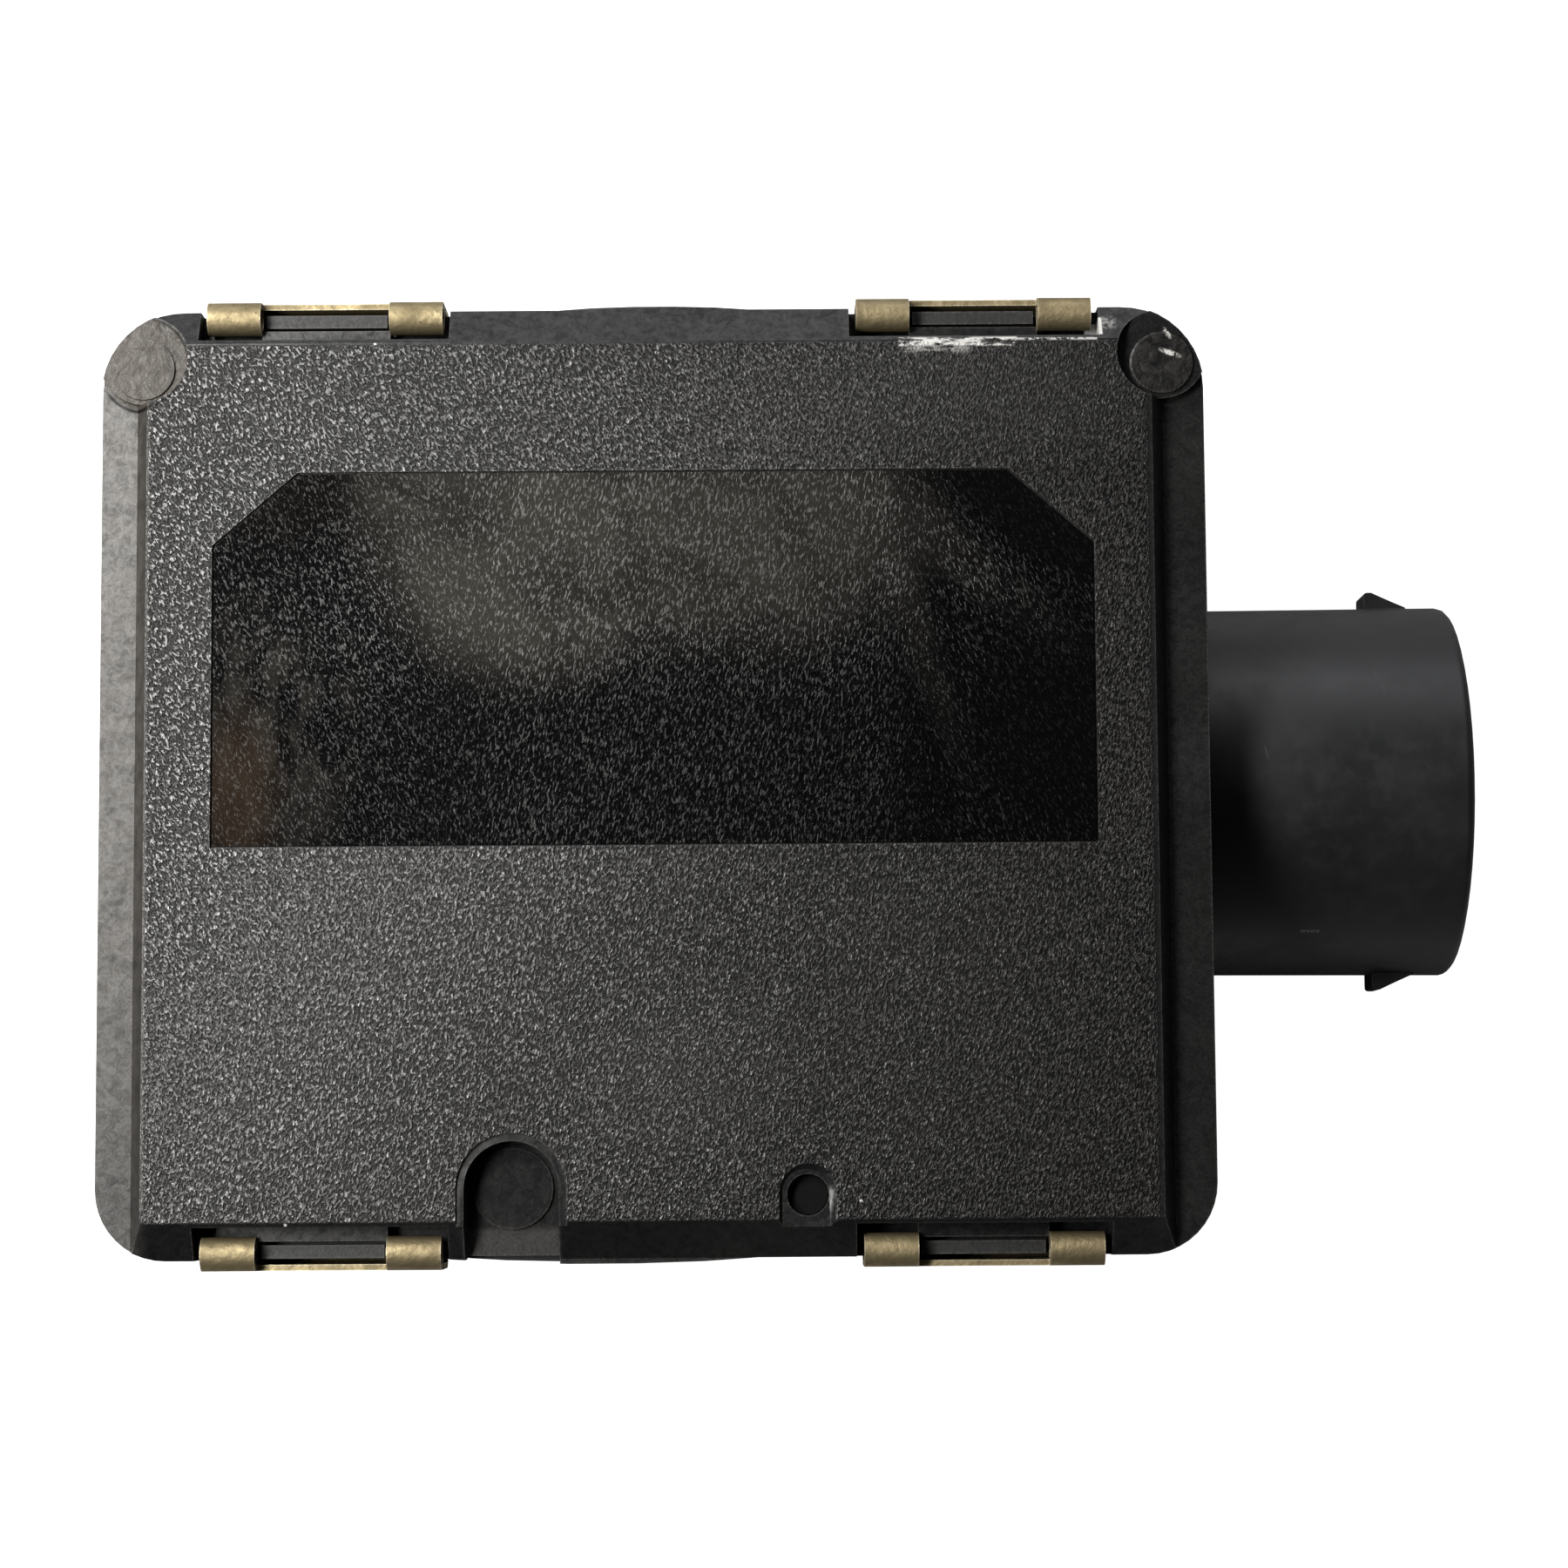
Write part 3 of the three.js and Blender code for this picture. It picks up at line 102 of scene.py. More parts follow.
class Graph:
    """A node material on one Principled BSDF. Its helpers take places and sizes in millimetres."""

    def __init__(self, name):
        self.material = bpy.data.materials.new(name)
        self.material.use_nodes = True
        self.tree = self.material.node_tree
        self.surface = self.tree.nodes["Principled BSDF"]
        self.place = self.add("ShaderNodeTexCoord").outputs["Object"]

    def add(self, kind, inputs=None, **settings):
        node = self.tree.nodes.new(kind)
        for key, value in settings.items():
            setattr(node, key, value)
        for key, value in (inputs or {}).items():
            self.feed(node.inputs[key], value)
        return node

    def feed(self, socket, value):
        if isinstance(value, bpy.types.NodeSocket):
            self.tree.links.new(value, socket)
        else:
            socket.default_value = value

    def finish(self, **inputs):
        """Feeds the Principled BSDF: words are its socket names with _ for a space."""
        for key, value in inputs.items():
            self.feed(self.surface.inputs[key.replace("_", " ")], value)
        return self.material

    def math(self, operation, a, b=0.0):
        node = self.add("ShaderNodeMath", {0: a, 1: b}, operation=operation)
        return node.outputs[0]

    def axes(self, vector=None):
        node = self.add("ShaderNodeSeparateXYZ", {0: vector or self.place})
        return node.outputs[0], node.outputs[1], node.outputs[2]

    def ramp(self, value, low, high, out_low=0.0, out_high=1.0):
        """A smooth step of value from low to high."""
        node = self.add("ShaderNodeMapRange", interpolation_type="SMOOTHSTEP")
        for index, number in enumerate((value, low, high, out_low, out_high)):
            self.feed(node.inputs[index], number)
        return node.outputs[0]

    def along(self, axis, low, high, out_low=0.0, out_high=1.0):
        """A smooth step along the axis "x", "y" or "z"."""
        return self.ramp(self.axes()["xyz".index(axis)], low * MM, high * MM, out_low, out_high)

    def largest(self, first, *others):
        for other in others:
            first = self.math("MAXIMUM", first, other)
        return first

    def total(self, first, *others):
        for other in others:
            first = self.math("ADD", first, other)
        return first

    def mapped(self, per_mm, stretch=(1, 1, 1), turn=0.0, shift=0.0):
        """Turned about Z, then stretched, so that a texture has per_mm * stretch features a millimetre."""
        inputs = {
            "Vector": self.place,
            "Rotation": (0, 0, turn),
            "Scale": [MM / (per_mm * s) for s in stretch],
            "Location": (shift * 10 * MM,) * 3,
        }
        return self.add("ShaderNodeMapping", inputs, vector_type="TEXTURE").outputs[0]

    def noise(self, per_mm, detail=2.0, roughness=0.5, distortion=0.0, **mapping):
        inputs = {
            "Vector": self.mapped(per_mm, **mapping),
            "Scale": 1.0,
            "Detail": detail,
            "Roughness": roughness,
            "Distortion": distortion,
        }
        return self.add("ShaderNodeTexNoise", inputs).outputs["Fac"]

    def cells(self, per_mm, randomness=1.0, **mapping):
        inputs = {"Vector": self.mapped(per_mm, **mapping), "Scale": 1.0, "Randomness": randomness}
        return self.add("ShaderNodeTexVoronoi", inputs).outputs["Distance"]

    def blend(self, fac, a, b):
        node = self.add("ShaderNodeMix", data_type="RGBA", clamp_factor=True)
        for index, value in ((0, fac), (6, rgba(a)), (7, rgba(b))):
            self.feed(node.inputs[index], value)
        return node.outputs[2]

    def between(self, fac, a, b):
        """The number a where fac is 0 and b where it is 1."""
        node = self.add("ShaderNodeMix", data_type="FLOAT", clamp_factor=True)
        for index, value in ((0, fac), (2, a), (3, b)):
            self.feed(node.inputs[index], value)
        return node.outputs[0]

    def bump(self, height, depth_mm, normal=None, strength=1.0):
        inputs = {"Height": height, "Distance": depth_mm * MM, "Strength": strength}
        if normal is not None:
            inputs["Normal"] = normal
        return self.add("ShaderNodeBump", inputs).outputs[0]

    def edge_wear(self, radius_mm, low=0.02, high=0.25):
        """1 on convex and concave edges, 0 on flat ground."""
        rounded = self.add("ShaderNodeBevel", {"Radius": radius_mm * MM}, samples=4).outputs[0]
        true_normal = self.add("ShaderNodeNewGeometry").outputs["Normal"]
        dot = self.add("ShaderNodeVectorMath", {0: rounded, 1: true_normal}, operation="DOT_PRODUCT")
        return self.ramp(self.math("SUBTRACT", 1.0, dot.outputs["Value"]), low, high)

    def times(self, first, *others):
        for other in others:
            first = self.math("MULTIPLY", first, other)
        return first

    def oval(self, centre, half, softness, turn=0.0):
        """1 inside an ellipse seen from above, 0 outside. The softness is a share of its radius."""
        settings = {"Vector": self.place, "Rotation": (0, 0, turn)}
        settings["Scale"] = (half[0] * MM, half[1] * MM, 1)
        settings["Location"] = (centre[0] * MM, centre[1] * MM, 0)
        local = self.add("ShaderNodeMapping", settings, vector_type="TEXTURE").outputs[0]
        x, y, _ = self.axes(local)
        squares = self.total(self.times(x, x), self.times(y, y))
        return self.ramp(self.math("SQRT", squares), 1 - softness, 1 + softness, 1.0, 0.0)

    def patch(self, low, high, soft):
        """1 inside an upright rectangle seen from above, 0 outside, with soft edges."""
        sides = []
        for axis, start, end in zip("xy", low, high):
            sides.append(self.along(axis, start - soft, start + soft))
            sides.append(self.along(axis, end - soft, end + soft, 1.0, 0.0))
        return self.times(*sides)


def rgba(value):
    """A colour for a socket: from another socket, a grey level or three numbers."""
    if isinstance(value, bpy.types.NodeSocket):
        return value
    if isinstance(value, (int, float)):
        return (value, value, value, 1.0)
    return (*value, 1.0)


# ---- The black mouldings --------------------------------------------------------------------------

BLACK_PLASTIC = (0.0028, 0.0028, 0.0033)
WORN_PLASTIC = (0.0060, 0.0059, 0.0058)
# The grain's valley and ridge tones are painted shade and painted light; the valley tone also paints the
# shadow line under the upper left pocket
GRAIN_VALLEY_SHADE = (0.0018, 0.0018, 0.0018)
GRAIN_RIDGE_LIGHT = (0.0150, 0.0142, 0.0135)
GRAIN_SMEAR = (0.010, 0.0085, 0.0070)
GRAIN_HAZE = (0.018, 0.0175, 0.0175)
# Pale edge wear; on the cover it also paints the highlight along the plateau's left edge
PALE_WEAR_AND_HIGHLIGHT = (0.075, 0.072, 0.068)
DRAG_MARK = (0.030, 0.030, 0.030)
DUST = (0.30, 0.29, 0.27)
# The left flange's pale tone: dust, with painted light from the left
DUST_AND_LIGHT_TONE = (0.072, 0.066, 0.059)
LEFT_POCKET_DUST = (0.056, 0.048, 0.039)
RIGHT_PAD_DUST = (0.030, 0.027, 0.024)
NOTCH_DUST = (0.0080, 0.0078, 0.0078)
# Painted light on the notch's floor at its open end
NOTCH_MOUTH_LIGHT = (0.034, 0.032, 0.031)
# White of the rubbed marks, and of the painted backdrop light seen through the gap by the upper right clip
SCUFF_AND_GAP_WHITE = (0.55, 0.54, 0.52)


def dust_specks(g, per_mm=0.9, threshold=0.83):
    return g.ramp(g.noise(per_mm, detail=4.0, roughness=0.75, shift=7.3), threshold - 0.05, threshold)


def leaning_worms(g, lean, shift):
    """Short raised worms that lean by an angle from +Y, as a height from 0 to 1."""
    worms = g.noise(1.0, detail=1.5, distortion=0.6, stretch=(4.7, 2.5, 2), turn=lean, shift=shift)
    return g.ramp(worms, 0.35, 0.65)


def worm_grain(g):
    """The cover's moulded grain. Its lean changes from the upper left corner to the rest."""
    x, y, _ = g.axes()
    away_from_corner = g.ramp(g.math("SUBTRACT", x, y), -50 * MM, 20 * MM)
    return g.between(away_from_corner, leaning_worms(g, 0.62, 0.0), leaning_worms(g, -0.30, 3.1))


def plateau_mask(g):
    """1 on the grained top of the cover, 0 on its plain margin and below."""
    return g.times(
        g.along("x", PLATEAU_LEFT, PLATEAU_LEFT + 0.15),
        g.along("x", PLATEAU_RIGHT - 0.35, PLATEAU_RIGHT, 1.0, 0.0),
        g.along("y", PLATEAU_BOTTOM, PLATEAU_BOTTOM + 0.2),
        g.along("y", PLATEAU_TOP - 0.15, PLATEAU_TOP, 1.0, 0.0),
        g.along("z", COVER_FACE - 0.12, COVER_FACE - 0.02),
    )


def scuffs_and_gap_light(g):
    """White rubbed marks beside the upper right clip and on the right pad, a few stuck specks, and a white
    strip at that clip's right end that is painted backdrop light seen through a gap.
    """
    ragged = g.ramp(g.noise(1.3, detail=4.0, roughness=0.7, stretch=(0.5, 1.4, 1), shift=5.0), 0.42, 0.55)
    fine = g.ramp(g.noise(3.0, detail=3.0, roughness=0.7, shift=8.0), 0.40, 0.56)

    def corner_patch(left, bottom, right, top, soft):
        """A rectangle whose sides are counted from the cover's upper right corner."""
        return g.patch((RIGHT - left, TOP - bottom), (RIGHT - right, TOP - top), soft)

    return g.largest(
        g.times(corner_patch(25.65, 3.94, 15.75, 3.19, 0.1), ragged),
        g.times(corner_patch(25.25, 4.44, 19.75, 3.74, 0.3), ragged, 0.35),
        g.times(corner_patch(16.25, 3.49, 9.05, 3.29, 0.06), fine, 0.8),
        # Painted backdrop light: this full white strip at the upper right clip's right end stands for the
        # white backdrop seen through a gap
        corner_patch(9.75, 2.99, 8.55, 1.34, 0.06),
        g.times(corner_patch(8.65, 2.34, 7.45, 1.34, 0.25), fine, 0.35),
        g.times(g.oval((RIGHT - 3.05, TOP - 2.74), (0.20, 0.50), 0.4, 0.5), fine, 0.8),
        g.times(g.oval((RIGHT - 2.85, TOP - 4.44), (0.80, 0.20), 0.5, -0.35), fine),
        g.oval((RIGHT - 29.45, BOTTOM + 5.03), (0.13, 0.10), 0.4),
        g.oval((LEFT + 15.95, BOTTOM + 3.38), (0.12, 0.12), 0.4),
        g.oval((LEFT + 23.05, TOP - 3.49), (0.13, 0.09), 0.4),
    )


def dust_and_light_on_left_flange(g, fine):
    """Dust and painted light on the left flange, stronger towards its upper end."""
    mottle = g.ramp(g.noise(0.7, detail=5.0, roughness=0.75, shift=2.5), 0.30, 0.66, 0.35, 1.0)
    flange = g.along("x", LEFT + 3.25, LEFT + 4.75, 1.0, 0.0)
    thicker_upwards = g.along("y", BOTTOM - 3.92, BOTTOM + 50.1, 0.45, 1.0)
    return g.times(flange, thicker_upwards, mottle, g.ramp(fine, 0.3, 0.6, 0.7, 1.0))


def painted_shadow_under_pocket(g, left_pocket):
    """A painted shadow: the dark line under the upper left pocket."""
    around = g.oval(LEFT_POCKET, [half + 0.28 for half in LEFT_POCKET_HALF], 0.03)
    below = g.along("y", TOP - 7.54, TOP - 6.34, 1.0, 0.0)
    outside = g.along("x", LEFT + 3.85, LEFT + 4.85, 1.0, 0.0)
    return g.times(around, g.math("SUBTRACT", 1.0, left_pocket), below, outside, 0.95)


def plateau_haze(g):
    """Three pale worn areas: low in the middle, low on the right and in the upper right corner."""
    return g.total(
        g.times(g.oval((LEFT + 49.25, BOTTOM + 16.08), (8, 6), 0.8), 0.5),
        g.times(g.oval((RIGHT - 22.25, BOTTOM + 20.08), (11, 13), 0.9), 0.25),
        g.times(g.oval((RIGHT - 15.25, TOP - 6.94), (13, 5), 0.7), 0.45),
    )


def left_edge_highlight(g, fine):
    """A painted highlight: a pale line along the plateau's left edge."""
    lower_end = (PLATEAU_LEFT - 0.05, PLATEAU_BOTTOM + 1.15)
    upper_end = (PLATEAU_LEFT + 0.25, PLATEAU_TOP - 4.45)
    return g.times(g.patch(lower_end, upper_end, 0.10), g.ramp(fine, 0.3, 0.6, 0.3, 0.8))


def cover_shine(g, on_top, grain, left_pocket, notch, pocket_shadow):
    """Ridges shine and valleys don't; the whole cover is duller to the right and in its dusty pockets."""
    duller_right = g.along("x", LEFT + 14.25, RIGHT - 8.25, 1.30, 0.42)
    ridges = g.times(g.ramp(grain, 0.15, 0.95, 0.25, 1.10), duller_right)
    mottle = g.noise(1.2, detail=5.0, roughness=0.75, distortion=0.8, shift=6.0)
    blotches = g.ramp(mottle, 0.30, 0.68, 0.45, 1.25)
    margin = g.times(g.between(left_pocket, 1.0, 0.55), g.between(notch, 1.0, 0.30), blotches, 0.5)
    return g.times(g.between(on_top, margin, ridges), g.between(pocket_shadow, 1.0, 0.2))


def cover_plastic():
    """Black moulding: a grained plateau inside a plain margin, with dust, wear, rubbed marks and some
    painted shade and light.
    """
    g = Graph("cover_plastic")
    on_top = plateau_mask(g)
    grain = worm_grain(g)
    fine = g.noise(4.5, detail=3.0, roughness=0.6)
    blotch = g.noise(0.08, detail=4.0, roughness=0.6)
    smear = g.noise(0.10, detail=4.0, roughness=0.6, stretch=(0.7, 1, 1), shift=2.0)
    mottle = g.noise(0.9, detail=4.0, roughness=0.7, distortion=0.6, shift=6.0)
    left_pocket = g.oval(LEFT_POCKET, LEFT_POCKET_HALF, 0.04)
    right_pad = g.oval(RIGHT_PAD, RIGHT_PAD_HALF, 0.05)
    notch = g.oval(NOTCH, NOTCH_HALF, 0.1)
    notch_mouth = g.patch(*NOTCH_MOUTH, 0.4)
    pocket_shadow = painted_shadow_under_pocket(g, left_pocket)
    edges = g.times(g.edge_wear(0.3), g.ramp(fine, 0.35, 0.65, 0.15, 0.8))

    plain = g.blend(g.ramp(blotch, 0.35, 0.7), BLACK_PLASTIC, WORN_PLASTIC)
    # Dust and painted light on the left flange
    plain = g.blend(dust_and_light_on_left_flange(g, fine), plain, DUST_AND_LIGHT_TONE)
    plain = g.blend(g.times(left_pocket, g.ramp(mottle, 0.3, 0.65, 0.55, 1.0)), plain, LEFT_POCKET_DUST)
    plain = g.blend(g.times(right_pad, g.ramp(mottle, 0.40, 0.70, 0.0, 0.7)), plain, RIGHT_PAD_DUST)
    plain = g.blend(g.times(notch, g.ramp(mottle, 0.35, 0.65, 0.0, 0.8)), plain, NOTCH_DUST)
    # Painted light: the notch's floor is paler at its open end, where light reaches in
    plain = g.blend(g.times(notch_mouth, g.ramp(fine, 0.3, 0.6, 0.5, 1.0)), plain, NOTCH_MOUTH_LIGHT)
    # Painted shade and light: the grain's colour is darker in its valleys and paler on its ridges
    grained = g.blend(grain, GRAIN_VALLEY_SHADE, GRAIN_RIDGE_LIGHT)
    grained = g.blend(g.ramp(smear, 0.45, 0.75, 0.0, 0.30), grained, GRAIN_SMEAR)
    grained = g.blend(plateau_haze(g), grained, GRAIN_HAZE)
    color = g.blend(on_top, plain, grained)
    # Pale wear on the edges, and a painted highlight along the plateau's left edge
    color = g.blend(g.largest(edges, left_edge_highlight(g, fine)), color, PALE_WEAR_AND_HIGHLIGHT)
    # Painted shadow under the upper left pocket, where its edge steps down to the flange
    color = g.blend(pocket_shadow, color, GRAIN_VALLEY_SHADE)
    color = g.blend(g.times(dust_specks(g, 1.6, 0.80), 0.7), color, DUST)
    # Rubbed marks, with the painted white of the backdrop seen through the gap by the upper right clip
    color = g.blend(scuffs_and_gap_light(g), color, SCUFF_AND_GAP_WHITE)

    plain_rough = g.ramp(fine, 0.3, 0.7, 0.34, 0.42)
    grained_rough = g.ramp(grain, 0.0, 1.0, 0.50, 0.34)
    smeared = g.ramp(smear, 0.3, 0.8, -0.04, 0.05)
    pitted = g.times(g.largest(left_pocket, right_pad, notch), mottle, 0.9)
    return g.finish(
        Base_Color=color,
        Roughness=g.total(g.between(on_top, plain_rough, grained_rough), g.times(notch, 0.28), smeared),
        Specular_IOR_Level=cover_shine(g, on_top, grain, left_pocket, notch, pocket_shadow),
        Normal=g.bump(g.total(g.times(grain, on_top), g.times(fine, 0.07), pitted), 0.10),
        IOR=1.5,
    )


def case_plastic():
    """Black moulding with faint upright drag marks from its mould."""
    g = Graph("case_plastic")
    fine = g.noise(3.2, detail=3.0, roughness=0.6)
    blotch = g.noise(0.06, detail=3.0)
    drag = g.noise(1.2, stretch=(1, 1, 0.06), shift=4.0)
    edges = g.times(g.edge_wear(0.35), g.ramp(fine, 0.35, 0.65, 0.1, 0.7))
    color = g.blend(g.ramp(blotch, 0.35, 0.7), BLACK_PLASTIC, WORN_PLASTIC)
    color = g.blend(g.ramp(drag, 0.62, 0.72, 0.0, 0.3), color, DRAG_MARK)
    color = g.blend(edges, color, PALE_WEAR_AND_HIGHLIGHT)
    color = g.blend(dust_specks(g, 0.7, 0.85), color, DUST)
    return g.finish(
        Base_Color=color,
        Roughness=g.ramp(fine, 0.3, 0.7, 0.48, 0.64),
        Normal=g.bump(g.total(g.times(fine, 0.7), g.times(drag, 0.3)), 0.03),
        IOR=1.52,
    )


def socket_plastic():
    """Smooth satin black moulding, slightly blue, with a few fine scratches and one dusty dash."""
    g = Graph("socket_plastic")
    cloud = g.noise(0.09, detail=4.0, roughness=0.6)
    mottle = g.noise(0.6, detail=4.0, roughness=0.6, shift=1.5)
    fine = g.noise(5.0)
    scratch = g.noise(2.6, stretch=(1, 0.10, 0.10), turn=0.35, shift=3.0)
    edges = g.times(g.edge_wear(0.3), g.ramp(cloud, 0.4, 0.6, 0.1, 0.5))
    dash = g.patch((SOCKET_RIGHT - 14.3, SOCKET_Y - 13.02), (SOCKET_RIGHT - 12.7, SOCKET_Y - 12.82), 0.06)
    color = g.blend(g.ramp(cloud, 0.3, 0.75), (0.0040, 0.0043, 0.0054), (0.0065, 0.0069, 0.0084))
    color = g.blend(g.ramp(mottle, 0.45, 0.75, 0.0, 0.4), color, (0.010, 0.0103, 0.0118))
    color = g.blend(g.ramp(scratch, 0.74, 0.78, 0.0, 0.35), color, (0.05, 0.05, 0.055))
    color = g.blend(edges, color, (0.06, 0.06, 0.065))
    color = g.blend(g.times(dash, g.ramp(fine, 0.35, 0.55), 0.6), color, DUST)
    rough = g.total(g.ramp(cloud, 0.3, 0.75, 0.44, 0.54), g.ramp(mottle, 0.4, 0.7, 0.0, 0.06))
    return g.finish(Base_Color=color, Roughness=rough, Normal=g.bump(fine, 0.006), IOR=1.5)


FILM = (0.0015, 0.0015, 0.0017)
# Painted reflection of a light on the label film
FILM_REFLECTION = (0.027, 0.0254, 0.0212)
# Painted glints on the film's grain tops
FILM_GLINT = (0.020, 0.019, 0.0175)
FILM_DARK = (0.0022, 0.0022, 0.0024)
FILM_STAIN = (0.026, 0.017, 0.011)
FILM_BROWN = (0.014, 0.0105, 0.0085)
FILM_DUST = (0.16, 0.155, 0.145)


def label_oval(g, centre, half, softness, turn=0.0):
    """An oval on the label, its centre counted in millimetres from the label's middle."""
    return g.oval((LABEL_X + centre[0], LABEL_Y + centre[1]), half, softness, turn)


def label_worms(g, stretch, lean, shift):
    return g.noise(1.0, detail=2.5, roughness=0.6, distortion=0.5, stretch=stretch, turn=lean, shift=shift)


def label_grain(g):
    """Short worms whose lean changes from the left end to the middle and to the right end."""
    left_end = label_worms(g, (5.2, 2.4, 2), 0.45, 0.0)
    middle = label_worms(g, (5.2, 2.0, 2), -0.20, 4.0)
    right_end = label_worms(g, (5.0, 1.8, 2), 0.5, 6.0)
    grain = g.between(g.along("x", LABEL_X - 26, LABEL_X - 8), left_end, middle)
    return g.between(g.along("x", LABEL_X + 17, LABEL_X + 27), grain, right_end)


def label_painted_reflection(g, wisp, streak):
    """Painted reflection: a pale glow over the upper half and the left end, and faintly along the rubbed
    streak.
    """
    cloud = g.noise(0.12, detail=4.0, roughness=0.55, distortion=0.8, shift=1.0)
    ragged = g.ramp(cloud, 0.30, 0.62, 0.45, 1.0)
    upper_left = g.times(label_oval(g, (-10.5, 14.08), (13.5, 15), 0.25), ragged)
    upper_middle = g.times(label_oval(g, (5, 11.08), (15, 9), 0.5), ragged, 0.75)
    left_end = g.times(label_oval(g, (-32, -5.92), (6, 9), 0.6), g.ramp(wisp, 0.4, 0.65), 0.55)
    return g.total(g.largest(upper_left, upper_middle), left_end, g.times(streak, 0.12))


def label_streak(g, wisp):
    """Two rubbed lines that run down to the right near the right end."""
    slanting = label_oval(g, (25.2, 8.38), (1.9, 11), 0.6, 0.92)
    steep = label_oval(g, (21.5, 3.08), (1.3, 10), 0.7, 0.32)
    return g.times(g.largest(slanting, steep), g.ramp(wisp, 0.3, 0.6, 0.4, 1.0))


def label_dark_end(g):
    """The clean dark film beyond the streak: the upper right corner and the right end below the middle."""
    upper = g.times(label_oval(g, (31.5, 13.08), (4.0, 10.5), 0.35, 0.92), 0.90)
    lower = g.times(label_oval(g, (34, -4.92), (7, 9), 0.6), 0.65)
    return g.largest(upper, lower)


def label_shine(g, grain, streak, dark_end):
    """Bright glints on the worms: fewer at the left end and in the lower half, more along the streak."""
    across = g.along("x", LABEL_X - 38, LABEL_X - 15, 0.30, 0.85)
    upwards = g.along("y", LABEL_Y - 5.92, LABEL_Y + 4.08, 0.55, 1.0)
    left_corner = g.between(label_oval(g, (-29, 17.08), (8, 9), 0.6), 1.0, 0.40)
    lit = g.times(across, upwards, left_corner, g.between(streak, 1.0, 1.9))
    return g.times(g.ramp(grain, 0.50, 0.68, 0.03, 1.45), lit, g.between(dark_end, 1.0, 0.45))


def label_film():
    """A blank dark film: a glinting leaning grain, a painted reflection in its upper half and rubbed
    patches.
    """
    g = Graph("label_film")
    grain = label_grain(g)
    wisp = g.noise(0.28, detail=4.0, roughness=0.6, stretch=(1.6, 0.7, 1), shift=9.0)
    streak = label_streak(g, wisp)
    painted_reflection = label_painted_reflection(g, wisp, streak)
    dark_end = label_dark_end(g)
    # Painted glints: paler flecks on the tops of the grain
    glint_flecks = g.times(g.ramp(grain, 0.57, 0.72), g.ramp(wisp, 0.3, 0.7, 0.35, 0.8))
    stain = g.times(label_oval(g, (-34.5, -10.92), (3, 6), 0.6), 0.6)
    brown_corner = g.times(label_oval(g, (-31, 16.08), (6, 6), 0.6), g.ramp(wisp, 0.3, 0.6), 0.20)

    # Painted reflection of a light over the film's upper half; the film is also rougher there
    color = g.blend(painted_reflection, FILM, FILM_REFLECTION)
    color = g.blend(glint_flecks, color, FILM_GLINT)
    color = g.blend(dark_end, color, FILM_DARK)
    color = g.blend(stain, color, FILM_STAIN)
    color = g.blend(brown_corner, color, FILM_BROWN)
    color = g.blend(dust_specks(g, 2.2, 0.80), color, FILM_DUST)
    height = g.times(g.ramp(grain, 0.30, 0.70), g.between(dark_end, 1.0, 0.5))
    return g.finish(
        Base_Color=color,
        Roughness=g.total(g.ramp(grain, 0.3, 0.7, 0.16, 0.26), g.times(painted_reflection, 0.16)),
        Specular_IOR_Level=label_shine(g, grain, streak, dark_end),
        Normal=g.bump(height, 0.030),
        IOR=1.45,
    )


def membrane_felt():
    """Black breather felt."""
    g = Graph("membrane_felt")
    fibre = g.noise(6.0, detail=4.0, roughness=0.7, distortion=1.0)
    color = g.blend(fibre, (0.0006, 0.0006, 0.0007), (0.0065, 0.0065, 0.0070))
    return g.finish(Base_Color=color, Roughness=0.95, Specular_IOR_Level=0.15, Normal=g.bump(fibre, 0.05))


def seal_rubber():
    """Dull black rubber with a grey bloom."""
    g = Graph("seal_rubber")
    fine = g.noise(2.5, detail=3.0)
    bloom = g.noise(0.12, detail=3.0)
    color = g.blend(g.ramp(bloom, 0.4, 0.75), (0.010, 0.010, 0.010), (0.026, 0.026, 0.026))
    return g.finish(Base_Color=color, Roughness=g.ramp(fine, 0.3, 0.7, 0.7, 0.9), Normal=g.bump(fine, 0.02))


# ---- Metals ----------------------------------------------------------------------------------------


BRONZE_DARK = (0.205, 0.168, 0.097)
BRONZE_LIGHT = (0.335, 0.275, 0.160)
BRONZE_DRAWN = (0.22, 0.18, 0.105)
BRONZE_PIT = (0.10, 0.080, 0.05)
BRONZE_EDGE = (0.82, 0.76, 0.60)


def clip_bronze():
    """Rolled spring bronze: warm metal under a patchy brown tarnish, brighter on its cut edges."""
    g = Graph("clip_bronze")
    drawn = g.noise(1.1, detail=4.0, roughness=0.65, stretch=(0.2, 1, 1))
    patch = g.noise(0.45, detail=4.0, roughness=0.6, distortion=0.5, shift=3.0)
    hammered = g.noise(1.1, shift=8.0)
    pits = g.noise(2.6, detail=4.0, roughness=0.7, shift=6.0)
    color = g.blend(g.ramp(patch, 0.3, 0.7), BRONZE_DARK, BRONZE_LIGHT)
    color = g.blend(g.ramp(drawn, 0.45, 0.68, 0.0, 0.4), color, BRONZE_DRAWN)
    color = g.blend(g.ramp(pits, 0.62, 0.70, 0.0, 0.7), color, BRONZE_PIT)
    color = g.blend(g.times(g.edge_wear(0.2, 0.05, 0.35), 0.7), color, BRONZE_EDGE)
    return g.finish(
        Base_Color=color,
        Metallic=0.9,
        Roughness=g.total(g.ramp(patch, 0.3, 0.7, 0.66, 0.50), g.ramp(pits, 0.6, 0.7, 0.0, 0.2)),
        Normal=g.bump(g.total(g.times(hammered, 0.8), g.times(pits, 0.3)), 0.10),
    )


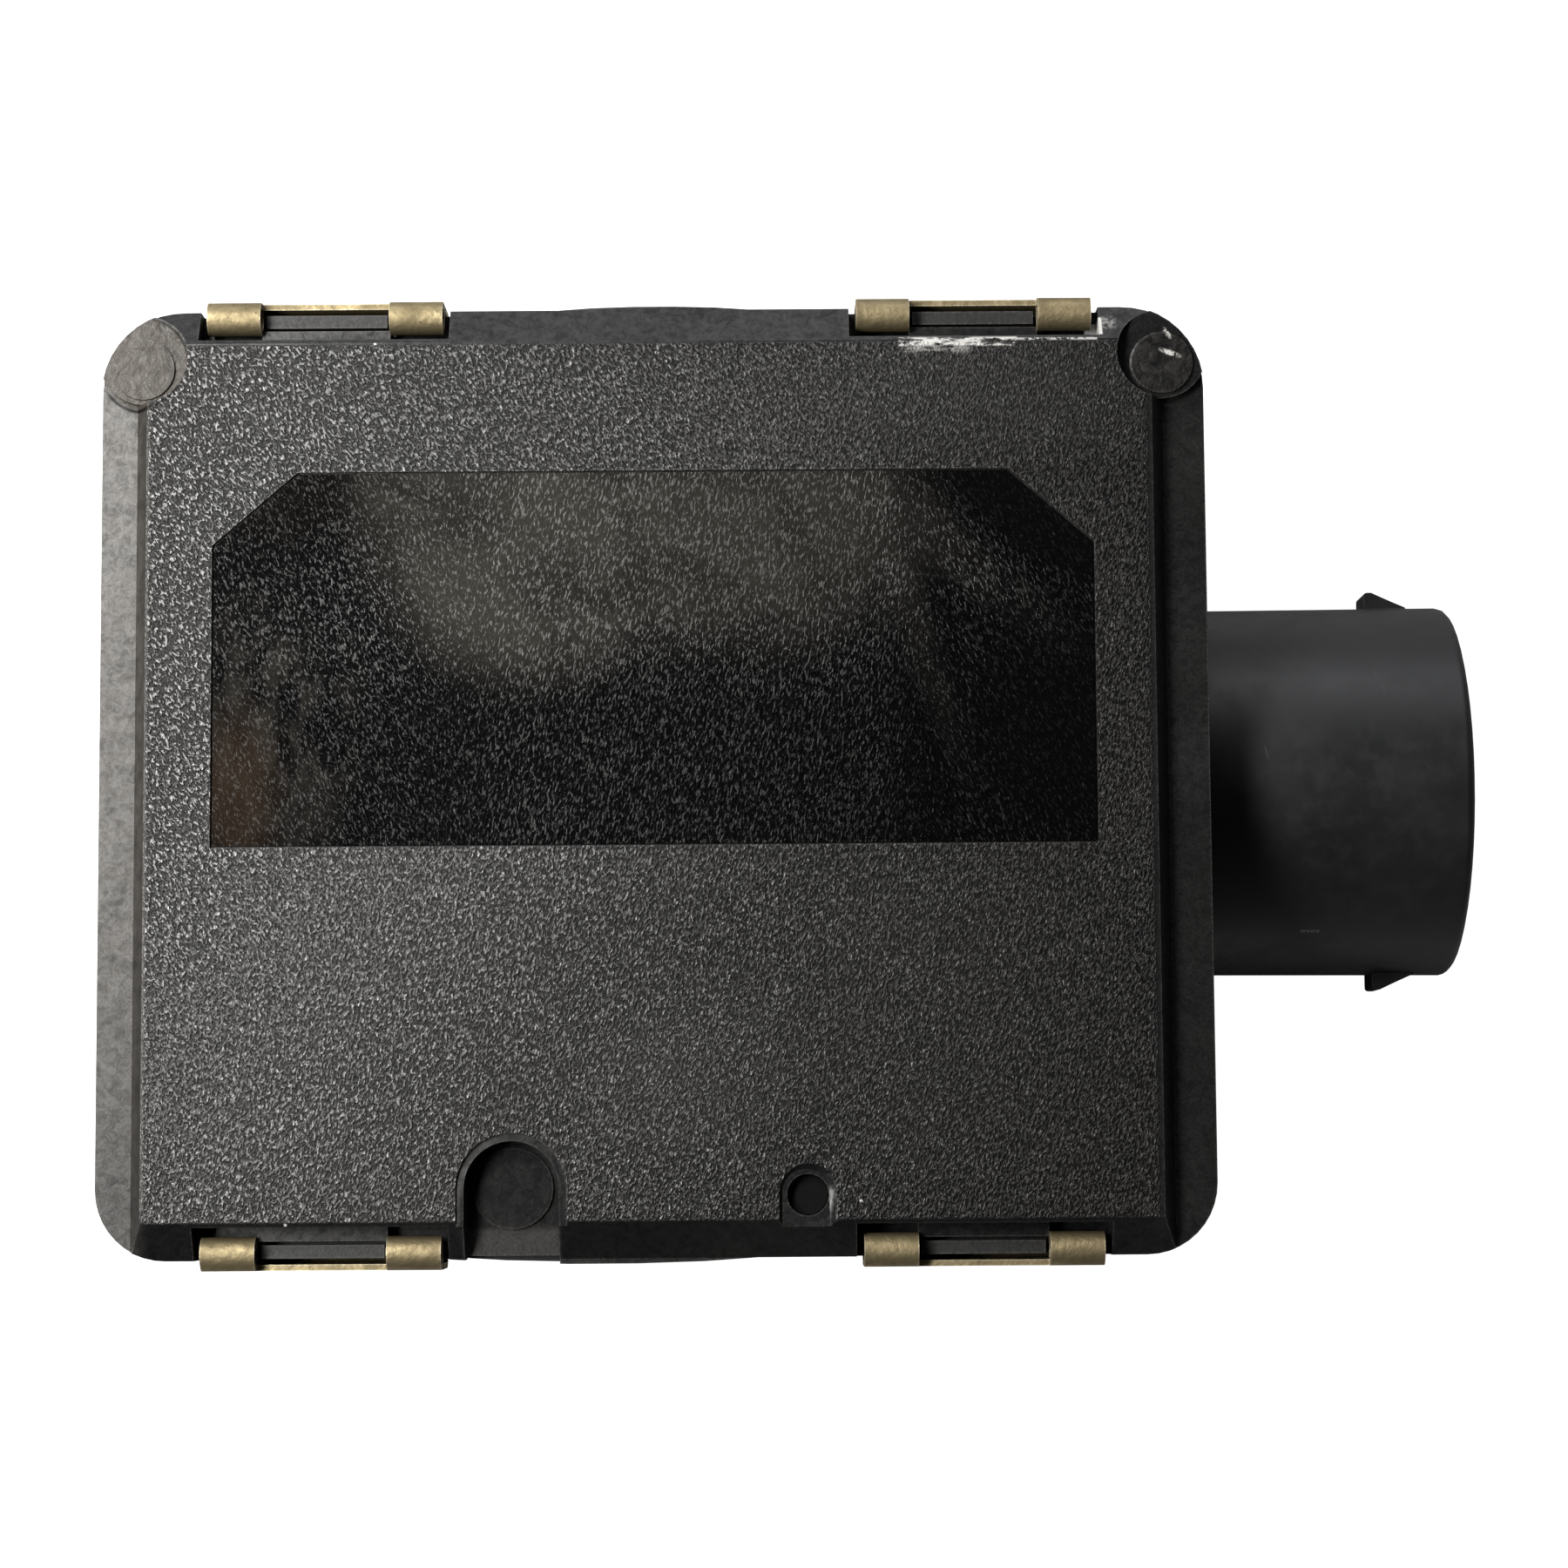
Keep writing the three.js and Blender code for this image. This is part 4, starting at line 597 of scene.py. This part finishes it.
def metal(name, low_color, high_color, roughness, per_mm=1.5, stretch=(1, 1, 1), depth_mm=0.01):
    """A plain metal with fine tool marks, patchy tone and brighter edges."""
    g = Graph(name)
    marks = g.noise(per_mm, detail=4.0, roughness=0.6, stretch=stretch)
    patch = g.noise(0.15, detail=3.0, shift=2.0)
    wear = g.edge_wear(0.2, 0.05, 0.35)
    color = g.blend(g.ramp(patch, 0.3, 0.7), low_color, high_color)
    color = g.blend(g.ramp(marks, 0.45, 0.7, 0.0, 0.35), color, [c * 0.6 for c in low_color])
    color = g.blend(g.times(wear, 0.4), color, [min(1.0, c * 1.35) for c in high_color])
    rough = g.ramp(marks, 0.3, 0.7, roughness - 0.07, roughness + 0.1)
    return g.finish(Base_Color=color, Metallic=1.0, Roughness=rough, Normal=g.bump(marks, depth_mm))


def zinc_plate():
    return metal("zinc_plate", (0.40, 0.42, 0.45), (0.55, 0.57, 0.60), 0.38, 0.8)


def motor_steel():
    return metal("motor_steel", (0.42, 0.43, 0.44), (0.56, 0.57, 0.58), 0.3, 2.0, (1, 1, 0.1))


def capacitor_can():
    return metal("capacitor_can", (0.62, 0.62, 0.64), (0.75, 0.75, 0.76), 0.25, 2.5, (1, 1, 0.08))


def brass_turned():
    return metal("brass_turned", (0.56, 0.41, 0.16), (0.70, 0.53, 0.24), 0.27, 2.2, (0.15, 1, 1))


def copper_winding():
    """Lacquered copper turns."""
    g = Graph("copper_winding")
    turns = g.noise(3.0, stretch=(0.3, 0.3, 1))
    color = g.blend(turns, (0.36, 0.13, 0.06), (0.60, 0.27, 0.13))
    return g.finish(Base_Color=color, Metallic=0.85, Roughness=0.35, Normal=g.bump(turns, 0.05))


# ---- Plastics and boards inside --------------------------------------------------------------------


def moulded(name, low_color, high_color, roughness, per_mm=2.0, depth_mm=0.015):
    """An ordinary moulded plastic or resin with a fine texture, patchy tone and paler edges."""
    g = Graph(name)
    fine = g.noise(per_mm, detail=3.0, roughness=0.6)
    patch = g.noise(0.12, detail=3.0, shift=4.0)
    wear = g.edge_wear(0.2)
    color = g.blend(g.ramp(patch, 0.3, 0.7), low_color, high_color)
    color = g.blend(g.ramp(fine, 0.55, 0.75, 0.0, 0.3), color, [c * 0.7 for c in low_color])
    color = g.blend(g.times(wear, 0.35), color, [min(1.0, c * 1.4 + 0.02) for c in high_color])
    rough = g.ramp(fine, 0.3, 0.7, roughness - 0.06, roughness + 0.08)
    return g.finish(Base_Color=color, Roughness=rough, Normal=g.bump(fine, depth_mm))


def gear_plastic():
    return moulded("gear_plastic", (0.58, 0.55, 0.47), (0.68, 0.65, 0.57), 0.42, 1.2, 0.01)


def chip_resin():
    return moulded("chip_resin", (0.010, 0.010, 0.011), (0.018, 0.018, 0.019), 0.6, 5.0)


def ferrite_core():
    return moulded("ferrite_core", (0.04, 0.04, 0.045), (0.07, 0.07, 0.075), 0.75, 3.0, 0.03)


def magnet_ferrite():
    return moulded("magnet_ferrite", (0.045, 0.045, 0.05), (0.08, 0.08, 0.085), 0.6, 3.5, 0.03)


def lead_red():
    return moulded("lead_red", (0.26, 0.015, 0.012), (0.36, 0.03, 0.02), 0.4, 1.5, 0.01)


def lead_black():
    return moulded("lead_black", (0.010, 0.010, 0.010), (0.022, 0.022, 0.022), 0.4, 1.5, 0.01)


def board_laminate():
    """Green solder mask with faint copper tracks under it."""
    g = Graph("board_laminate")
    tracks = g.cells(0.55, randomness=0.35, stretch=(1, 0.6, 1))
    weave = g.noise(3.0)
    color = g.blend(g.ramp(tracks, 0.30, 0.36), (0.012, 0.085, 0.035), (0.020, 0.14, 0.06))
    return g.finish(
        Base_Color=color,
        Roughness=g.ramp(weave, 0.3, 0.7, 0.28, 0.42),
        Normal=g.bump(g.total(tracks, g.times(weave, 0.2)), 0.02),
    )


SLOT_MATERIALS = {
    "black_grained_plastic": case_plastic,
    "label_film": label_film,
    "membrane": membrane_felt,
    "rubber_seal": seal_rubber,
    "satin_black_plastic": socket_plastic,
    "zinc_plate": zinc_plate,
    "board_laminate": board_laminate,
    "chip_resin": chip_resin,
    "capacitor_can": capacitor_can,
    "ferrite_core": ferrite_core,
    "motor_steel": motor_steel,
    "copper_winding": copper_winding,
    "brass_turned": brass_turned,
    "clip_bronze": clip_bronze,
    "lead_red": lead_red,
    "lead_black": lead_black,
    "gear_plastic": gear_plastic,
    "magnet_ferrite": magnet_ferrite,
}
NODE_MATERIALS = {"cover": cover_plastic}

# ---- Pieces ------------------------------------------------------------------------------------------

WELD = 1e-7
FLAT_WITHIN_DEG = 0.4

# The width of the rounding on a piece's edges, and the angle from which an edge counts as sharp
SMALL_EDGE_MM = 0.06
EDGE_MM = {
    "cover": 0.14,
    "case": 0.2,
    "plug_socket": 0.25,
    "rating_label": 0.05,
    "circuit_board": 0.1,
    "motor_can": 0.3,
    "motor_end_cap": 0.3,
    "capacitor_left": 0.5,
    "capacitor_right": 0.5,
    "socket_nut": 0.3,
    "inductor": 0.3,
}
SHARP_DEG = 31
SHARP_DEG_ON_CURLS = 38


def rounded(piece, width_mm, sharp_deg):
    """Rounds the sharp edges of a piece and keeps its flat faces flat in the light."""
    bevel = piece.modifiers.new("rounded_edges", "BEVEL")
    bevel.width = width_mm * MM
    bevel.segments = 2
    bevel.limit_method = "ANGLE"
    bevel.angle_limit = math.radians(sharp_deg)
    bevel.use_clamp_overlap = True
    bevel.miter_outer = "MITER_ARC"
    normals = piece.modifiers.new("flat_faces", "WEIGHTED_NORMAL")
    normals.keep_sharp = True


def refined(node):
    """A welded, smooth copy of a CAD node. It stands for the node."""
    mesh = bpy.data.meshes.new(node + "_surface")
    bm = bmesh.new()
    bm.from_mesh(frame["nodes"][node].data)
    bmesh.ops.remove_doubles(bm, verts=bm.verts, dist=WELD)
    flat = math.radians(FLAT_WITHIN_DEG)
    bmesh.ops.dissolve_limit(bm, angle_limit=flat, verts=bm.verts, edges=bm.edges)
    for face in bm.faces:
        face.smooth = True
    bm.to_mesh(mesh)
    bm.free()
    stored = mesh.attributes.get("custom_normal")
    if stored:
        mesh.attributes.remove(stored)
    mesh.materials.clear()
    piece = bpy.data.objects.new(node + "_body", mesh)
    bpy.context.scene.collection.objects.link(piece)
    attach(piece, BODY_OF[node])
    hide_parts(node)
    return piece


def dress_everything():
    """Stands a refined, rounded piece in the place of every node, in its slot's material or its own."""
    made = {}
    for node in sorted(frame["nodes"]):
        build = NODE_MATERIALS.get(node, SLOT_MATERIALS[SLOT_OF[node]])
        if build not in made:
            made[build] = build()
        piece = refined(node)
        piece.data.materials.append(made[build])
        sharp = SHARP_DEG_ON_CURLS if "gear" in node or "clip" in node else SHARP_DEG
        rounded(piece, EDGE_MM.get(node, SMALL_EDGE_MM), sharp)


# ---- Stage, lights and camera ------------------------------------------------------------------------

FLOOR_HALF = 3.0
FLOOR_DROP = 0.02 * MM
FLOOR_TONES = (0.42, 0.46)


def pale_floor():
    """Pale paper under the part, plain white to the camera."""
    height = CAD_BOX[0].z - FLOOR_DROP
    bm = bmesh.new()
    corners = [(-1, -1), (1, -1), (1, 1), (-1, 1)]
    bm.faces.new([bm.verts.new((x * FLOOR_HALF, y * FLOOR_HALF, height)) for x, y in corners])
    mesh = bpy.data.meshes.new("floor")
    bm.to_mesh(mesh)
    bm.free()
    floor = bpy.data.objects.new("floor", mesh)
    bpy.context.scene.collection.objects.link(floor)
    g = Graph("floor_paper")
    seen = g.add("ShaderNodeLightPath").outputs["Is Camera Ray"]
    paper = g.noise(0.02)
    mesh.materials.append(g.finish(
        Base_Color=g.blend(paper, *FLOOR_TONES),
        Roughness=0.9,
        Emission_Color=rgba(1.0),
        Emission_Strength=seen,
    ))


KEY_LEFT = {
    "place": (-0.135, 0.04, 0.25),
    "target": (0.0, 0.0, 0.04),
    "size": (0.26, 0.07),
    "power": 1.35,
    "color": (1.0, 0.985, 0.955),
}
RIM_BEHIND = {
    "place": (0.05, 0.28, 0.15),
    "target": (0.03, 0.0, 0.03),
    "size": (0.40, 0.12),
    "power": 0.42,
    "color": (0.97, 0.98, 1.0),
}

# The brightness of the surroundings falls from the band round the horizon to the ceiling as the upward part
# of the direction goes from From Min to From Max
CEILING = {"From Min": 0.55, "From Max": 0.85, "To Min": 0.10, "To Max": 0.01}


def soft_light(name, place, target, size, power, color):
    data = bpy.data.lights.new(name, "AREA")
    data.shape = "RECTANGLE"
    data.size, data.size_y = size
    data.energy = power
    data.color = color
    light = bpy.data.objects.new(name, data)
    light.location = place
    light.rotation_mode = "QUATERNION"
    light.rotation_quaternion = (Vector(target) - Vector(place)).to_track_quat("-Z", "Y")
    bpy.context.scene.collection.objects.link(light)


def studio_world():
    """White to the camera; for the part, a pale band round the horizon under a dark ceiling."""
    world = bpy.data.worlds.new("studio")
    world.use_nodes = True
    tree = world.node_tree
    background = tree.nodes["Background"]
    seen = tree.nodes.new("ShaderNodeLightPath").outputs["Is Camera Ray"]
    direction = tree.nodes.new("ShaderNodeTexCoord").outputs["Generated"]
    axes = tree.nodes.new("ShaderNodeSeparateXYZ")
    tree.links.new(direction, axes.inputs[0])
    band = tree.nodes.new("ShaderNodeMapRange")
    band.interpolation_type = "SMOOTHSTEP"
    tree.links.new(axes.outputs["Z"], band.inputs["Value"])
    for key, value in CEILING.items():
        band.inputs[key].default_value = value
    strength = tree.nodes.new("ShaderNodeMix")
    tree.links.new(seen, strength.inputs[0])
    tree.links.new(band.outputs[0], strength.inputs[2])
    strength.inputs[3].default_value = 1.0
    tree.links.new(strength.outputs[0], background.inputs["Strength"])
    background.inputs["Color"].default_value = (1, 1, 1, 1)
    bpy.context.scene.world = world


# The camera looks almost straight down at the cover
CAMERA_PLACE = Vector((9.82, -30.88, 350.3)) * MM
CAMERA_TILT = math.radians(5.58)
CAMERA_PAN = math.radians(-0.17)
CAMERA_ROLL = math.radians(-0.40)
CAMERA_LENS = 86.0
SENSOR_WIDTH = 36.0
CAMERA_NEAR = 0.01


def place_camera():
    data = bpy.data.cameras.new("camera")
    data.lens = CAMERA_LENS
    data.sensor_width = SENSOR_WIDTH
    data.clip_start = CAMERA_NEAR
    camera = bpy.data.objects.new("camera", data)
    turn = Matrix.Rotation(CAMERA_TILT, 4, "X") @ Matrix.Rotation(CAMERA_PAN, 4, "Y")
    turn = turn @ Matrix.Rotation(CAMERA_ROLL, 4, "Z")
    camera.matrix_world = Matrix.Translation(CAMERA_PLACE) @ turn
    bpy.context.scene.collection.objects.link(camera)
    bpy.context.scene.camera = camera


dress_everything()
pale_floor()
soft_light("key_left", **KEY_LEFT)
soft_light("rim_behind", **RIM_BEHIND)
studio_world()
place_camera()
bpy.context.scene.view_settings.view_transform = "Standard"
bpy.context.view_layer.update()
